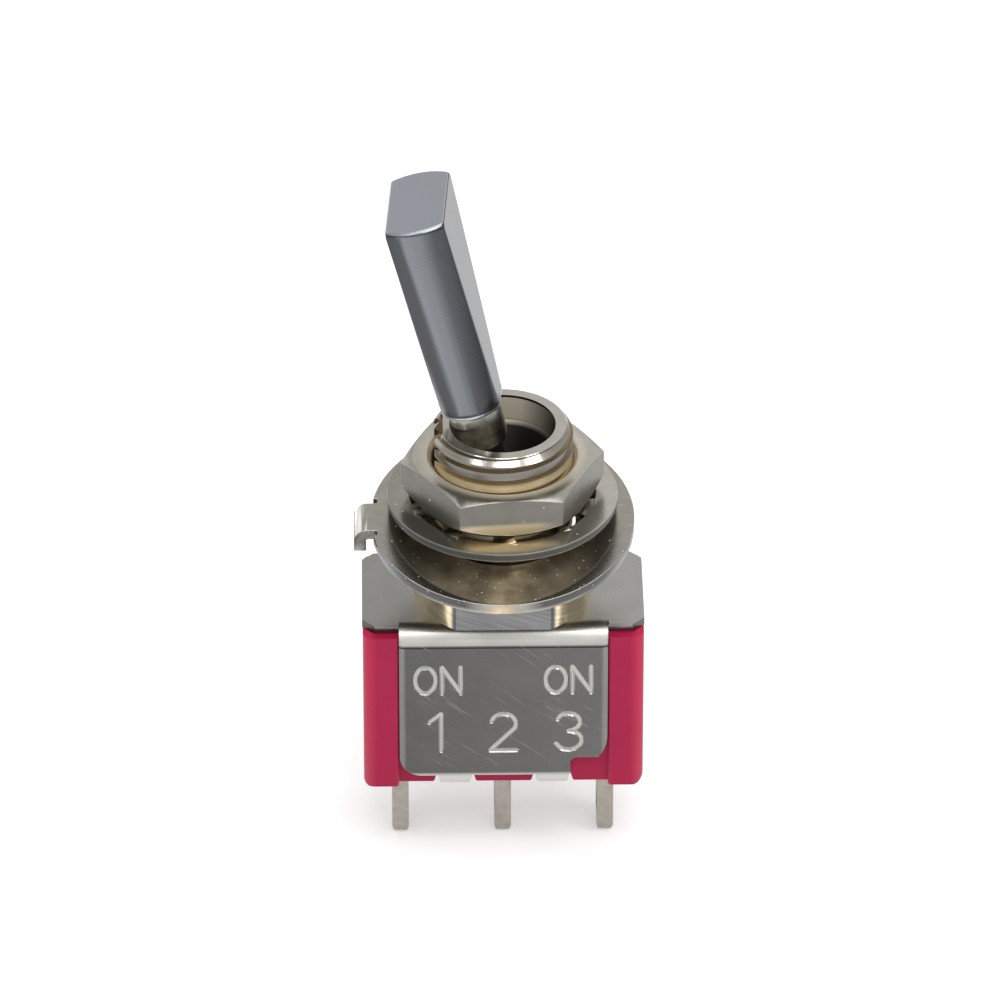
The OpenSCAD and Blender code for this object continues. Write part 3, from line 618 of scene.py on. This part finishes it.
def nickel_plate(name, colour, roughness, upright_shade=0.36, left_shade=0.9):
    """Bright nickel over turned or pressed metal: a warm mirror with small clouds and dust,
    painted shade on its upright faces and towards −X, and a golden painted reflection low on the
    front.
    """
    material, tree, place = new_finish(name)
    at = gauges(tree, place)
    cloud, tone = clouds(tree, place, 0.7 * MM, colour, 0.82, 1.14)
    # Painted shade: upright faces are darker, and the plate darkens towards −X
    tone = shaded(tree, tone, at.level, *UPRIGHT, upright_shade)
    tone = shaded(tree, tone, at.x, *LEFT_SHADE_SPAN, left_shade)
    tone = paint(tree, tone, rgba("#E3D5B2"), (at.radius, 3.9 * MM, 3.3 * MM, 0.35))
    # Painted reflection: a golden patch low on the front
    tone = paint(
        tree, tone, rgba("#F6E4BE"), (at.across, 2.5 * MM, 1.5 * MM, 0.45),
        (at.z, NUT_SEAT + 0.8 * MM, NUT_SEAT + 0.6 * MM), (at.y, -3.6 * MM, -4.0 * MM),
        (at.radius, WASHER_REACH - 0.1 * MM, WASHER_REACH - 0.3 * MM),
    )
    # Handled so often round the bore that its mirror is half gone
    rubbed = add(
        tree, "ShaderNodeMapRange",
        {"Value": at.radius, "From Min": 3.85 * MM, "From Max": 3.6 * MM,
         "To Min": 1, "To Max": 0.5},
    )
    tone, shine = dust(tree, place, 0.3 * MM, 0.15, tone, rubbed.outputs[0])
    surface(
        tree, {"Base Color": tone, "Metallic": shine, "Roughness": roughness},
        (cloud, 0.01 * MM, 0.5),
    )
    return material


def dished_nickel(colour):
    """Nickel on the dished ring: a painted highlight on its outer edge, and down in the dish a
    painted reflection, golden and clouded along the middle and dark towards its ends, with a
    strewing of dust."""
    material, tree, place = new_finish("Nickel plated steel, painted reflection")
    at = gauges(tree, place)
    _, tone = clouds(tree, place, 0.5 * MM, colour, 0.85, 1.15)
    # Painted shade and light on its outer wall: dark but for a light middle, below a painted
    # highlight along its edge, and darker still towards its ends, where the tab is
    wall = add(tree, "ShaderNodeValToRGB", {"Fac": at.turn})
    set_stops(wall, (0.12, (0.4, 0.38, 0.35)), (0.3, 0.1), (0.75, 0.11), (0.95, 0.26))
    wall = shaded(tree, wall.outputs["Color"], at.across, 5.3 * MM, 5.6 * MM, 1.0, 0.45)
    tone = paint(tree, tone, wall, (at.level, 0.45, 0.2))
    # Painted highlight: a near-white line along the outer top edge
    tone = paint(
        tree, tone, rgba("#FFFDF6"), (at.tilt, "COMPARE", 0.66, 0.2),
        (at.radius, "GREATER_THAN", 5.5 * MM),
    )
    # The painted reflection reaches the edge at the front, and stops short of it at the ends
    end = add(
        tree, "ShaderNodeMath", {0: at.across, 1: 0.15, 2: at.radius}, operation="MULTIPLY_ADD"
    )
    dish = where(tree, (end.outputs[0], 6.0 * MM, 5.85 * MM))
    reflection_clouds = add(
        tree, "ShaderNodeTexNoise", {"Vector": place, "Scale": 0.75 / MM, "Detail": 3}
    ).outputs["Fac"]
    middle = add(
        tree, "ShaderNodeMapRange",
        {"Value": at.across, "From Min": 4.2 * MM, "From Max": 0.4 * MM,
         "To Min": -0.45, "To Max": 1.5},
    )
    middle = add(
        tree, "ShaderNodeMath", {0: middle.outputs[0], 1: reflection_clouds, 2: 0.35},
        operation="MULTIPLY_ADD",
    )
    painted_reflection = paint(tree, rgba("#3B3934"), rgba("#FBE6C0"), middle.outputs[0], reflection_clouds)
    tone = paint(tree, tone, painted_reflection, dish)
    # Less metallic under the painted reflection, so that its colour shows
    reflection_matt = add(tree, "ShaderNodeMapRange", {"Value": dish, "To Min": 1, "To Max": 0.55})
    tone, shine = dust(tree, place, 0.2 * MM, 0.45, tone, reflection_matt.outputs[0])
    surface(tree, {"Base Color": tone, "Metallic": shine, "Roughness": 0.24})
    return material


def bushing_nickel(colour):
    """Nickel on turned brass: bright on the rim, golden down in the thread, with painted shade on
    its upright faces and towards −X, a painted golden highlight and dark reflection on the
    shoulder's round sides, painted shade where nut and washer meet, and inside the bore matt beige
    with a painted shadow at its right and painted shade, near black, deeper down."""
    material, tree, place = new_finish("Nickel plated turned brass")
    at = gauges(tree, place)
    cloud, tone = clouds(tree, place, 0.6 * MM, colour, 0.8, 1.15)
    # Painted shade: upright faces are darker, and the plate darkens towards −X
    tone = shaded(tree, tone, at.level, *UPRIGHT, 0.42)
    tone = shaded(tree, tone, at.x, *LEFT_SHADE_SPAN, 0.85)
    # Painted highlight and painted reflection on the shoulder's round sides: golden, past a dark
    # strip beside its flat front
    painted_shoulder_light = add(tree, "ShaderNodeValToRGB", {"Fac": at.turn})
    set_stops(painted_shoulder_light, (0.06, 0.2), (0.14, 0.1), (0.34, 0.12), (0.62, "#F3E2C0"))
    # Its flat front was brushed: fine lines, drawn coarse enough to show, run down to the right
    tipped = add(tree, "ShaderNodeMapping", {"Vector": place, "Rotation": (0, -0.35, 0)})
    drawn = add(
        tree, "ShaderNodeMapping",
        {"Vector": tipped.outputs[0], "Scale": (0.5 / MM, 0.5 / MM, 9 / MM)},
    )
    brushed = add(tree, "ShaderNodeTexNoise", {"Vector": drawn.outputs[0], "Scale": 1, "Detail": 2})
    painted_shoulder_light = shaded(tree, painted_shoulder_light.outputs["Color"], brushed.outputs["Fac"], 0.0, 1.0, 0.5, 1.5)
    tone = paint(tree, tone, painted_shoulder_light, (at.z, "LESS_THAN", SHOULDER_TOP))
    # Golden in the grooves, and all over just above the nut
    groove = where(
        tree, (at.radius, 3.13 * MM, 2.95 * MM, 0.5),
        (at.z, BUSHING_TOP - 0.1 * MM, BUSHING_TOP - 0.35 * MM),
    )
    low = where(
        tree, (at.z, BUSHING_TOP - 0.9 * MM, BUSHING_TOP - 1.5 * MM, 0.9),
        (at.z, BUSHING_TOP - 2.1 * MM, BUSHING_TOP - 1.8 * MM),
    )
    golden = add(tree, "ShaderNodeMath", {0: groove, 1: low}, operation="MAXIMUM")
    golden = where(tree, golden.outputs[0], (at.radius, "GREATER_THAN", 2.65 * MM))
    tone = paint(tree, tone, rgba("#F0DDB6"), golden)
    # Painted shade: dark where nut and washer meet
    tone = paint(tree, tone, rgba("#4E473C"), (at.z, "COMPARE", 5.6 * MM, 0.75 * MM))
    # Beige inside the bore, with a painted shadow at its right, and painted shade, near black,
    # further down
    inside = where(
        tree, (at.radius, "LESS_THAN", 2.42 * MM), (at.z, "LESS_THAN", BUSHING_TOP - 0.12 * MM)
    )
    upper_bore = where(tree, (at.z, BUSHING_TOP - 1.5 * MM, BUSHING_TOP - 1.2 * MM))
    beige = paint(tree, rgba("#F2E8D4"), rgba("#3A352D"), (at.x, 0.9 * MM, 2.3 * MM))
    tone = paint(tree, tone, paint(tree, rgba("#2C2A28"), beige, upper_bore), inside)
    matt = add(
        tree, "ShaderNodeMath", {0: where(tree, inside, upper_bore), 1: where(tree, golden, 0.7)},
        operation="MAXIMUM",
    )
    shine, rough = (
        add(tree, "ShaderNodeMapRange", {"Value": mask, "To Min": low, "To Max": high}).outputs[0]
        for mask, low, high in ((matt.outputs[0], 1.0, 0.2), (inside, 0.2, 0.5))
    )
    surface(
        tree, {"Base Color": tone, "Metallic": shine, "Roughness": rough},
        (cloud, 0.012 * MM, 0.6),
    )
    return material


def satin_chrome(colour, foot):
    """Chrome over turned brass: a bluish satin with fine rings round the lever's own axis, with
    painted shade and highlights by which way each face turns: its round faces darker towards their
    edges, its flats and end paler, and a painted shade line and highlight line near its foot."""
    material, tree, place = new_finish("Satin chrome plate")
    upright = add(
        tree, "ShaderNodeMapping",
        {"Vector": place, "Rotation": (0, LEVER_LEAN, 0)}, vector_type="POINT",
    ).outputs["Vector"]
    # The turning rings are drawn coarse enough to show
    rings = add(
        tree, "ShaderNodeTexWave",
        {"Vector": upright, "Scale": 1.6 / MM, "Distortion": 0.6, "Detail": 2},
        bands_direction="Z",
    ).outputs["Fac"]
    # Painted shade and highlight: the colour goes by which way each face turns about the lever's
    # axis
    turned = add(
        tree, "ShaderNodeMapping",
        {"Vector": add(tree, "ShaderNodeTexCoord").outputs["Normal"],
         "Rotation": (0, LEVER_LEAN, 0)}, vector_type="NORMAL",
    )
    faces = add(tree, "ShaderNodeSeparateXYZ", {"Vector": turned.outputs["Vector"]}).outputs
    across = add(tree, "ShaderNodeMapRange", {"Value": faces["X"], "From Min": -1.0})
    shade = add(tree, "ShaderNodeValToRGB", {"Fac": across.outputs[0]})
    set_stops(
        shade, (0.0, 0.54), (0.08, 0.52), (0.17, 0.2), (0.3, 0.28), (0.36, 0.74), (0.48, 0.64),
        (0.62, 0.28), (0.84, 0.1), (0.95, 0.44), (1.0, 0.54),
    )
    tone = add(
        tree, "ShaderNodeVectorMath", {0: shade.outputs["Color"], 1: tuple(colour)},
        operation="MULTIPLY",
    ).outputs[0]
    tone = shaded(tree, tone, rings, 0.0, 1.0, 0.97, 1.02)
    # Painted highlight: the end that faces up is paler
    tone = paint(tree, tone, scaled(colour, 1.6), (faces["Z"], 0.6, 0.8))
    # Near its foot a painted shade line, and below it a painted highlight line
    height = add(tree, "ShaderNodeSeparateXYZ", {"Vector": upright}).outputs["Z"]
    for level, spread, factor in ((0.3 * MM, 0.06 * MM, 0.25), (0.12 * MM, 0.09 * MM, 1.7)):
        band = (height, "COMPARE", foot + level, spread)
        tone = paint(tree, tone, scaled(colour, factor), band)
    surface(
        tree, {"Base Color": tone, "Metallic": 1, "Roughness": 0.3}, (rings, 0.002 * MM, 0.5)
    )
    return material


def plain_metal(name, colour, roughness, low=0.85, high=1.0):
    """Bare or plated metal, a little mottled by handling."""
    material, tree, place = new_finish(name)
    _, tone = clouds(tree, place, 0.4 * MM, linear(colour), low, high)
    surface(tree, {"Base Color": tone, "Metallic": 1, "Roughness": roughness})
    return material


def natural_nylon():
    """Moulded nylon, undyed: a milky cream with a dull surface."""
    material, tree, place = new_finish("Natural nylon")
    _, tone = clouds(tree, place, 0.8 * MM, linear("#E6DECB"), 0.92, 1.0)
    surface(tree, {"Base Color": tone, "Roughness": 0.5, "IOR": 1.53})
    return material


def potting_epoxy():
    """Epoxy poured in and cured: near black, glossy, with the faint waves of its fill."""
    material, tree, place = new_finish("Potting epoxy")
    wave = add(tree, "ShaderNodeTexNoise", {"Vector": place, "Scale": 0.8 / MM, "Detail": 1})
    surface(
        tree, {"Base Color": rgba("#2E1714"), "Roughness": 0.15, "IOR": 1.55},
        (wave.outputs["Fac"], 0.05 * MM, 0.6),
    )
    return material


# ---------------------------------------------------------------- geometry trees


def open_tree(name, **inputs):
    """A new geometry tree and its inputs: the piece, those named by their kinds, a material."""
    tree = bpy.data.node_groups.new(name, "GeometryNodeTree")
    for label, kind in {"Geometry": "Geometry", **inputs, "Material": "Material"}.items():
        tree.interface.new_socket(label, in_out="INPUT", socket_type="NodeSocket" + kind)
    tree.interface.new_socket("Geometry", in_out="OUTPUT", socket_type="NodeSocketGeometry")
    return tree, add(tree, "NodeGroupInput").outputs


def cut_away(tree, given, *cutters, crossing=False):
    """Ends a tree: cuts shapes, which may cross one another, out of the piece."""
    cut = add(
        tree, "GeometryNodeMeshBoolean",
        {"Mesh 1": given["Geometry"], "Self Intersection": crossing},
        operation="DIFFERENCE", solver="EXACT",
    )
    for cutter in cutters:
        tree.links.new(cutter.outputs[0], cut.inputs["Mesh 2"])
    real = add(tree, "GeometryNodeRealizeInstances", {"Geometry": cut.outputs["Mesh"]})
    painted = add(
        tree, "GeometryNodeSetMaterial",
        {"Geometry": real.outputs[0], "Material": given["Material"]},
    )
    add(tree, "NodeGroupOutput", {"Geometry": painted.outputs[0]})
    return tree


def thread_tree():
    """Cuts a round helical V groove out of a rod that stands on the Z axis."""
    sizes = ("Radius", "Pitch", "Depth", "Start", "Length")
    tree, given = open_tree("Thread", **dict.fromkeys(sizes, "Float"))
    turns = add(tree, "ShaderNodeMath", {0: given["Length"], 1: given["Pitch"]}, operation="DIVIDE")
    # An equilateral section: one corner at the groove's root, the other two clear of the crests
    clear = add(tree, "ShaderNodeMath", {0: given["Depth"], 1: 0.05 * MM}, operation="ADD")
    reach = add(tree, "ShaderNodeMath", {0: clear.outputs[0], 1: 1.5}, operation="DIVIDE")
    root = add(
        tree, "ShaderNodeMath", {0: given["Radius"], 1: given["Depth"]}, operation="SUBTRACT"
    )
    centre = add(tree, "ShaderNodeMath", {0: root.outputs[0], 1: reach.outputs[0]}, operation="ADD")
    helix = add(
        tree, "GeometryNodeCurveSpiral",
        {"Resolution": 64, "Rotations": turns.outputs[0], "Start Radius": centre.outputs[0],
         "End Radius": centre.outputs[0], "Height": given["Length"], "Reverse": True},
    )
    upright = add(
        tree, "GeometryNodeSetCurveNormal", {"Curve": helix.outputs[0]}, mode="Z_UP"
    )
    section = add(
        tree, "GeometryNodeCurvePrimitiveCircle", {"Resolution": 3, "Radius": reach.outputs[0]}
    )
    sweep = add(
        tree, "GeometryNodeCurveToMesh",
        {"Curve": upright.outputs[0], "Profile Curve": section.outputs[0], "Fill Caps": True},
    )
    lift = add(tree, "ShaderNodeCombineXYZ", {"Z": given["Start"]})
    cutter = add(
        tree, "GeometryNodeTransform",
        {"Geometry": sweep.outputs[0], "Translation": lift.outputs[0]},
    )
    return cut_away(tree, given, cutter)


def stamp_tree():
    """Presses round strokes into a piece along the edges of another object's mesh."""
    tree, given = open_tree("Stamp", Marks="Object", Stroke="Float")
    marks = add(tree, "GeometryNodeObjectInfo", {"Object": given["Marks"]})
    paths = add(tree, "GeometryNodeMeshToCurve", {"Mesh": marks.outputs["Geometry"]})
    section = add(
        tree, "GeometryNodeCurvePrimitiveCircle", {"Resolution": 10, "Radius": given["Stroke"]}
    )
    sweep = add(
        tree, "GeometryNodeCurveToMesh",
        {"Curve": paths.outputs[0], "Profile Curve": section.outputs[0], "Fill Caps": True},
    )
    # A ball closes each end, so that strokes meet in rounded corners
    ball = add(
        tree, "GeometryNodeMeshIcoSphere", {"Radius": given["Stroke"], "Subdivisions": 2}
    )
    ends = add(tree, "GeometryNodeCurveEndpointSelection")
    balls = add(
        tree, "GeometryNodeInstanceOnPoints",
        {"Points": paths.outputs[0], "Selection": ends.outputs[0],
         "Instance": ball.outputs["Mesh"]},
    )
    return cut_away(tree, given, sweep, balls, crossing=True)


def arc(centre, radii, start, end, steps=10):
    """Points of an elliptic arc, its angles in degrees."""
    angles = [math.radians(start + (end - start) * i / steps) for i in range(steps + 1)]
    return [
        (centre[0] + radii[0] * math.cos(a), centre[1] + radii[1] * math.sin(a)) for a in angles
    ]


# Each mark as lines of points, one unit high and centred on x = 0
STROKES = {
    "O": [arc((0, 0.5), (0.33, 0.5), 90, 450, 20)],
    "N": [[(-0.3, 0), (-0.3, 1)], [(-0.3, 1), (0.3, 0)], [(0.3, 0), (0.3, 1)]],
    "1": [[(-0.2, 0.78), (0.06, 1)], [(0.06, 1), (0.06, 0)]],
    "2": [arc((0, 0.72), (0.28, 0.28), 165, -25) + [(-0.3, 0)], [(-0.3, 0), (0.3, 0)]],
    "3": [
        arc((0, 0.76), (0.26, 0.24), 160, -90),
        arc((0, 0.26), (0.3, 0.26), 90, -160),
    ],
}


# From one letter's middle to the next, for letters one unit high
LETTER_STEP = 0.84


def stamp_lines(marks):
    """The strokes' centre lines over the front strap, as a mesh of edges."""
    points, edges = [], []
    half = LETTER_STEP / 2 * marks.word_height
    rows = [
        (letter, side * marks.spread + shift, marks.word_level, marks.word_height)
        for side in (-1, 1) for letter, shift in (("O", -half), ("N", half))
    ]
    rows += [
        (digit, side * marks.spread, marks.number_level, marks.number_height)
        for digit, side in (("1", -1), ("2", 0), ("3", 1))
    ]
    depth = STRAP_FACE - (marks.stroke - marks.depth)
    for mark, x, z, height in rows:
        for line in STROKES[mark]:
            first = len(points)
            points += [(x + px * height, depth, z + pz * height) for px, pz in line]
            edges += [(i, i + 1) for i in range(first, len(points) - 1)]
    mesh = bpy.data.meshes.new("stamp_lines")
    mesh.from_pydata(points, edges, [])
    return new_object("stamp_lines", mesh)


# ---------------------------------------------------------------- operators


class SWITCH_OT_case(bpy.types.Operator):
    """Makes the moulded case and the epoxy in its underside"""

    bl_idname = "switch.case"
    bl_label = "Case"

    def execute(self, context):
        colours, edges = context.scene.switch_colours, context.scene.switch_edges
        case = smooth(round_edges(merged_copy("case_body", "case"), edges.moulded))
        finish_piece(case, moulded_thermoset(colours.case), "housing", "case_plastic", "case")
        seal = merged_copy("seal_fill", "epoxy_seal")
        smooth(seal)
        finish_piece(seal, potting_epoxy(), "housing", "seal_epoxy", "epoxy_seal")
        return {"FINISHED"}


class SWITCH_OT_frame(bpy.types.Operator):
    """Makes the folded steel frame"""

    bl_idname = "switch.frame"
    bl_label = "Frame"

    def execute(self, context):
        colours, edges = context.scene.switch_colours, context.scene.switch_edges
        marks = context.scene.switch_marks
        steel = tinned_sheet(colours.sheet)
        sheet = round_edges(merged_copy("frame_sheet", "frame"), edges.pressed)
        lines = stamp_lines(marks)
        run_nodes(sheet, stamp_tree(), Marks=lines, Stroke=marks.stroke, Material=steel)
        bpy.data.objects.remove(lines)
        smooth(tidy_mesh(sheet), 25)
        finish_piece(sheet, steel, "housing", "frame_steel", "frame")
        return {"FINISHED"}


class SWITCH_OT_bushing(bpy.types.Operator):
    """Makes the threaded bushing"""

    bl_idname = "switch.bushing"
    bl_label = "Bushing"

    def execute(self, context):
        colours, thread = context.scene.switch_colours, context.scene.switch_thread
        plate = bushing_nickel(colours.nickel)
        bushing = merged_copy("bushing_threaded", "bushing")
        run_nodes(
            bushing, thread_tree(), Radius=thread.radius, Pitch=thread.pitch,
            Depth=thread.depth, Start=thread.start,
            Length=BUSHING_TOP + THREAD_RUN_OUT - thread.start, Material=plate,
        )
        smooth(bushing)
        finish_piece(bushing, plate, "housing", "bushing_nickel", "bushing")
        return {"FINISHED"}


class SWITCH_OT_hardware(bpy.types.Operator):
    """Makes the nut, the lock washer and the locking ring"""

    bl_idname = "switch.hardware"
    bl_label = "Panel hardware"

    def execute(self, context):
        colours, edges = context.scene.switch_colours, context.scene.switch_edges
        satin = nickel_plate("Nickel plated steel, satin", colours.nickel, 0.3)
        rolled = nickel_plate("Nickel plated spring steel", colours.nickel, 0.24, 0.16, 0.6)
        bright = dished_nickel(colours.nickel)
        for name, node, finish in (
            ("nut", "hex_nut", satin),
            ("washer", "lock_washer", rolled),
            ("ring", "locking_ring", bright),
        ):
            piece = merged_copy(name, node)
            if name == "nut":
                # Its lower corners are turned off too, down to just inside its flats
                outline = [(radius, NUT_SEAT + height) for radius, height in NUT_OUTLINE]
                keep_inside(piece, turned_solid("outline", outline))
            smooth(round_edges(piece, edges.pressed))
            finish_piece(piece, finish, "housing", "hardware_nickel", node)
        return {"FINISHED"}


class SWITCH_OT_terminals(bpy.types.Operator):
    """Makes the three solder terminals"""

    bl_idname = "switch.terminals"
    bl_label = "Terminals"

    def execute(self, context):
        edges = context.scene.switch_edges
        plate = plain_metal("Tinned brass", "#ABA69D", 0.35, 0.7, 1.15)
        for side in ("left", "middle", "right"):
            node = "terminal_" + side
            lug = smooth(round_edges(merged_copy("lug_" + side, node), edges.pressed))
            finish_piece(lug, plate, "housing", "terminal_plate", node)
        return {"FINISHED"}


class SWITCH_OT_lever(bpy.types.Operator):
    """Makes the lever and its handle"""

    bl_idname = "switch.lever"
    bl_label = "Lever"

    def execute(self, context):
        colours, edges = context.scene.switch_colours, context.scene.switch_edges
        handle = round_edges(merged_copy("handle_sleeve", "handle"), edges.turned, segments=3)
        smooth(handle)
        lean = Matrix.Rotation(LEVER_LEAN, 3, "Y")
        foot = min((lean @ vert.co).z for vert in handle.data.vertices)
        finish = satin_chrome(colours.chrome, foot)
        finish_piece(handle, finish, "lever", "handle_chrome", "handle")
        neck = merged_copy("lever_neck", "lever")
        smooth(neck)
        steel = plain_metal("Bright turned steel", "#D8D5CC", 0.22, 0.05, 1.1)
        finish_piece(neck, steel, "lever", "lever_chrome", "lever")
        return {"FINISHED"}


class SWITCH_OT_works(bpy.types.Operator):
    """Gives the small parts inside their finishes"""

    bl_idname = "switch.works"
    bl_label = "Inside"

    def execute(self, context):
        steel = plain_metal("Ground steel", "#B8B8B6", 0.25)
        wire = plain_metal("Spring wire", "#A8A8AA", 0.3)
        silver = plain_metal("Silver", "#E4E2DC", 0.25)
        nylon = natural_nylon()
        for finish, *nodes in (
            (steel, "pivot_pin"),
            (wire, "plunger_spring"),
            (nylon, "plunger"),
            (silver, "rocker", "rocker_pad_left", "rocker_pad_right", "contact_left",
             "contact_right"),
        ):
            for node in nodes:
                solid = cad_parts[node]
                solid.data.materials.clear()
                solid.data.materials.append(finish)
        return {"FINISHED"}


def facing(place, aim):
    """The matrix of a lamp or camera at a place that looks at aim, its top upwards."""
    back = (place - aim).normalized()
    right = Vector((0, 0, 1)).cross(back).normalized()
    up = back.cross(right)
    return Matrix.Translation(place) @ Matrix((right, up, back)).transposed().to_4x4()


class SWITCH_OT_stage(bpy.types.Operator):
    """Sets up the floor, the lights and the camera"""

    bl_idname = "switch.stage"
    bl_label = "Stage"

    def execute(self, context):
        scene, stage = context.scene, context.scene.switch_stage
        floor_mesh = bpy.data.meshes.new("floor")
        corners = [
            (x * FLOOR_HALF, y * FLOOR_HALF, FLOOR_LEVEL)
            for x, y in ((-1, -1), (1, -1), (1, 1), (-1, 1))
        ]
        floor_mesh.from_pydata(corners, [], [(0, 1, 2, 3)])
        floor = new_object("floor", floor_mesh)
        material, tree, _ = new_finish("Studio paper")
        # Lifted to white for the camera and for what metal mirrors, with its shadow kept
        rays = add(tree, "ShaderNodeLightPath").outputs
        lift = rays["Is Camera Ray"]
        for other, operation in (
            (rays["Is Glossy Ray"], "MAXIMUM"), (rays["Is Transmission Ray"], "MAXIMUM"),
            (stage.lift, "MULTIPLY"),
        ):
            lift = add(tree, "ShaderNodeMath", {0: lift, 1: other}, operation=operation).outputs[0]
        surface(
            tree, {"Base Color": rgba("#E8E8E8"), "Roughness": 0.9,
                   "Emission Color": rgba("#FFFFFF"), "Emission Strength": lift},
        )
        floor_mesh.materials.append(material)

        world = bpy.data.worlds.new("Studio room")
        scene.world = world
        world.use_nodes = True
        room = world.node_tree.nodes["Background"]
        room.inputs["Color"].default_value = (1, 1, 1, 1)
        room.inputs["Strength"].default_value = stage.room

        for name, place, size, power in (
            ("top", (0.0, 0.02, 0.5), (0.4, 0.4), stage.top),
            ("front", (0.04, -0.27, 0.4), (0.22, 0.2), stage.front),
            ("side", (0.28, -0.16, 0.36), (0.12, 0.12), stage.side),
            ("left", (-0.24, -0.2, 0.38), (0.09, 0.09), stage.left),
            ("back", (0.15, 0.5, 0.33), (0.5, 0.3), stage.back),
            ("back_left", (-0.4, 0.45, 0.25), (0.5, 0.35), stage.back_left),
        ):
            light = bpy.data.lights.new(name, "AREA")
            light.shape = "RECTANGLE"
            light.size, light.size_y = size
            light.energy = power
            lamp = bpy.data.objects.new(name, light)
            scene.collection.objects.link(lamp)
            lamp.matrix_world = facing(Vector(place), Vector((0, 0, 0)))

        az, el = stage.azimuth, stage.elevation
        back = Vector((math.sin(az) * math.cos(el), -math.cos(az) * math.cos(el), math.sin(el)))
        right = Vector((math.cos(az), math.sin(az), 0))
        up = back.cross(right)
        camera_data = bpy.data.cameras.new("camera")
        camera_data.sensor_width = 36
        camera_data.lens = LENS
        camera = bpy.data.objects.new("camera", camera_data)
        scene.collection.objects.link(camera)
        aim = up * AIM_UP - right * AIM_LEFT
        camera.matrix_world = facing(back * stage.distance, aim)
        scene.camera = camera
        scene.view_settings.view_transform = "Standard"
        return {"FINISHED"}


class SWITCH_PT_panel(bpy.types.Panel):
    """Lists the switch's operators and sizes"""

    bl_idname = "SWITCH_PT_panel"
    bl_label = "Toggle switch"
    bl_space_type = "VIEW_3D"
    bl_region_type = "UI"
    bl_category = "Switch"

    def draw(self, context):
        for operator in OPERATORS:
            self.layout.operator(operator.bl_idname)
        for name in GROUPS:
            group = getattr(context.scene, name)
            box = self.layout.box()
            for prop in group.bl_rna.properties:
                if prop.identifier not in ("name", "rna_type"):
                    box.prop(group, prop.identifier)


GROUPS = {
    "switch_thread": SwitchThread,
    "switch_edges": SwitchEdges,
    "switch_marks": SwitchMarks,
    "switch_colours": SwitchColours,
    "switch_stage": SwitchStage,
}
OPERATORS = (
    SWITCH_OT_case,
    SWITCH_OT_frame,
    SWITCH_OT_bushing,
    SWITCH_OT_hardware,
    SWITCH_OT_terminals,
    SWITCH_OT_lever,
    SWITCH_OT_works,
    SWITCH_OT_stage,
)


def register():
    for name, group in GROUPS.items():
        bpy.utils.register_class(group)
        setattr(bpy.types.Scene, name, PointerProperty(type=group))
    for cls in (*OPERATORS, SWITCH_PT_panel):
        bpy.utils.register_class(cls)


def unregister():
    for cls in (SWITCH_PT_panel, *reversed(OPERATORS)):
        bpy.utils.unregister_class(cls)
    for name, group in reversed(list(GROUPS.items())):
        delattr(bpy.types.Scene, name)
        bpy.utils.unregister_class(group)


def main():
    register()
    bpy.ops.switch.case()
    bpy.ops.switch.frame()
    bpy.ops.switch.bushing()
    bpy.ops.switch.hardware()
    bpy.ops.switch.terminals()
    bpy.ops.switch.lever()
    bpy.ops.switch.works()
    bpy.ops.switch.stage()


if __name__ == "__main__":
    main()
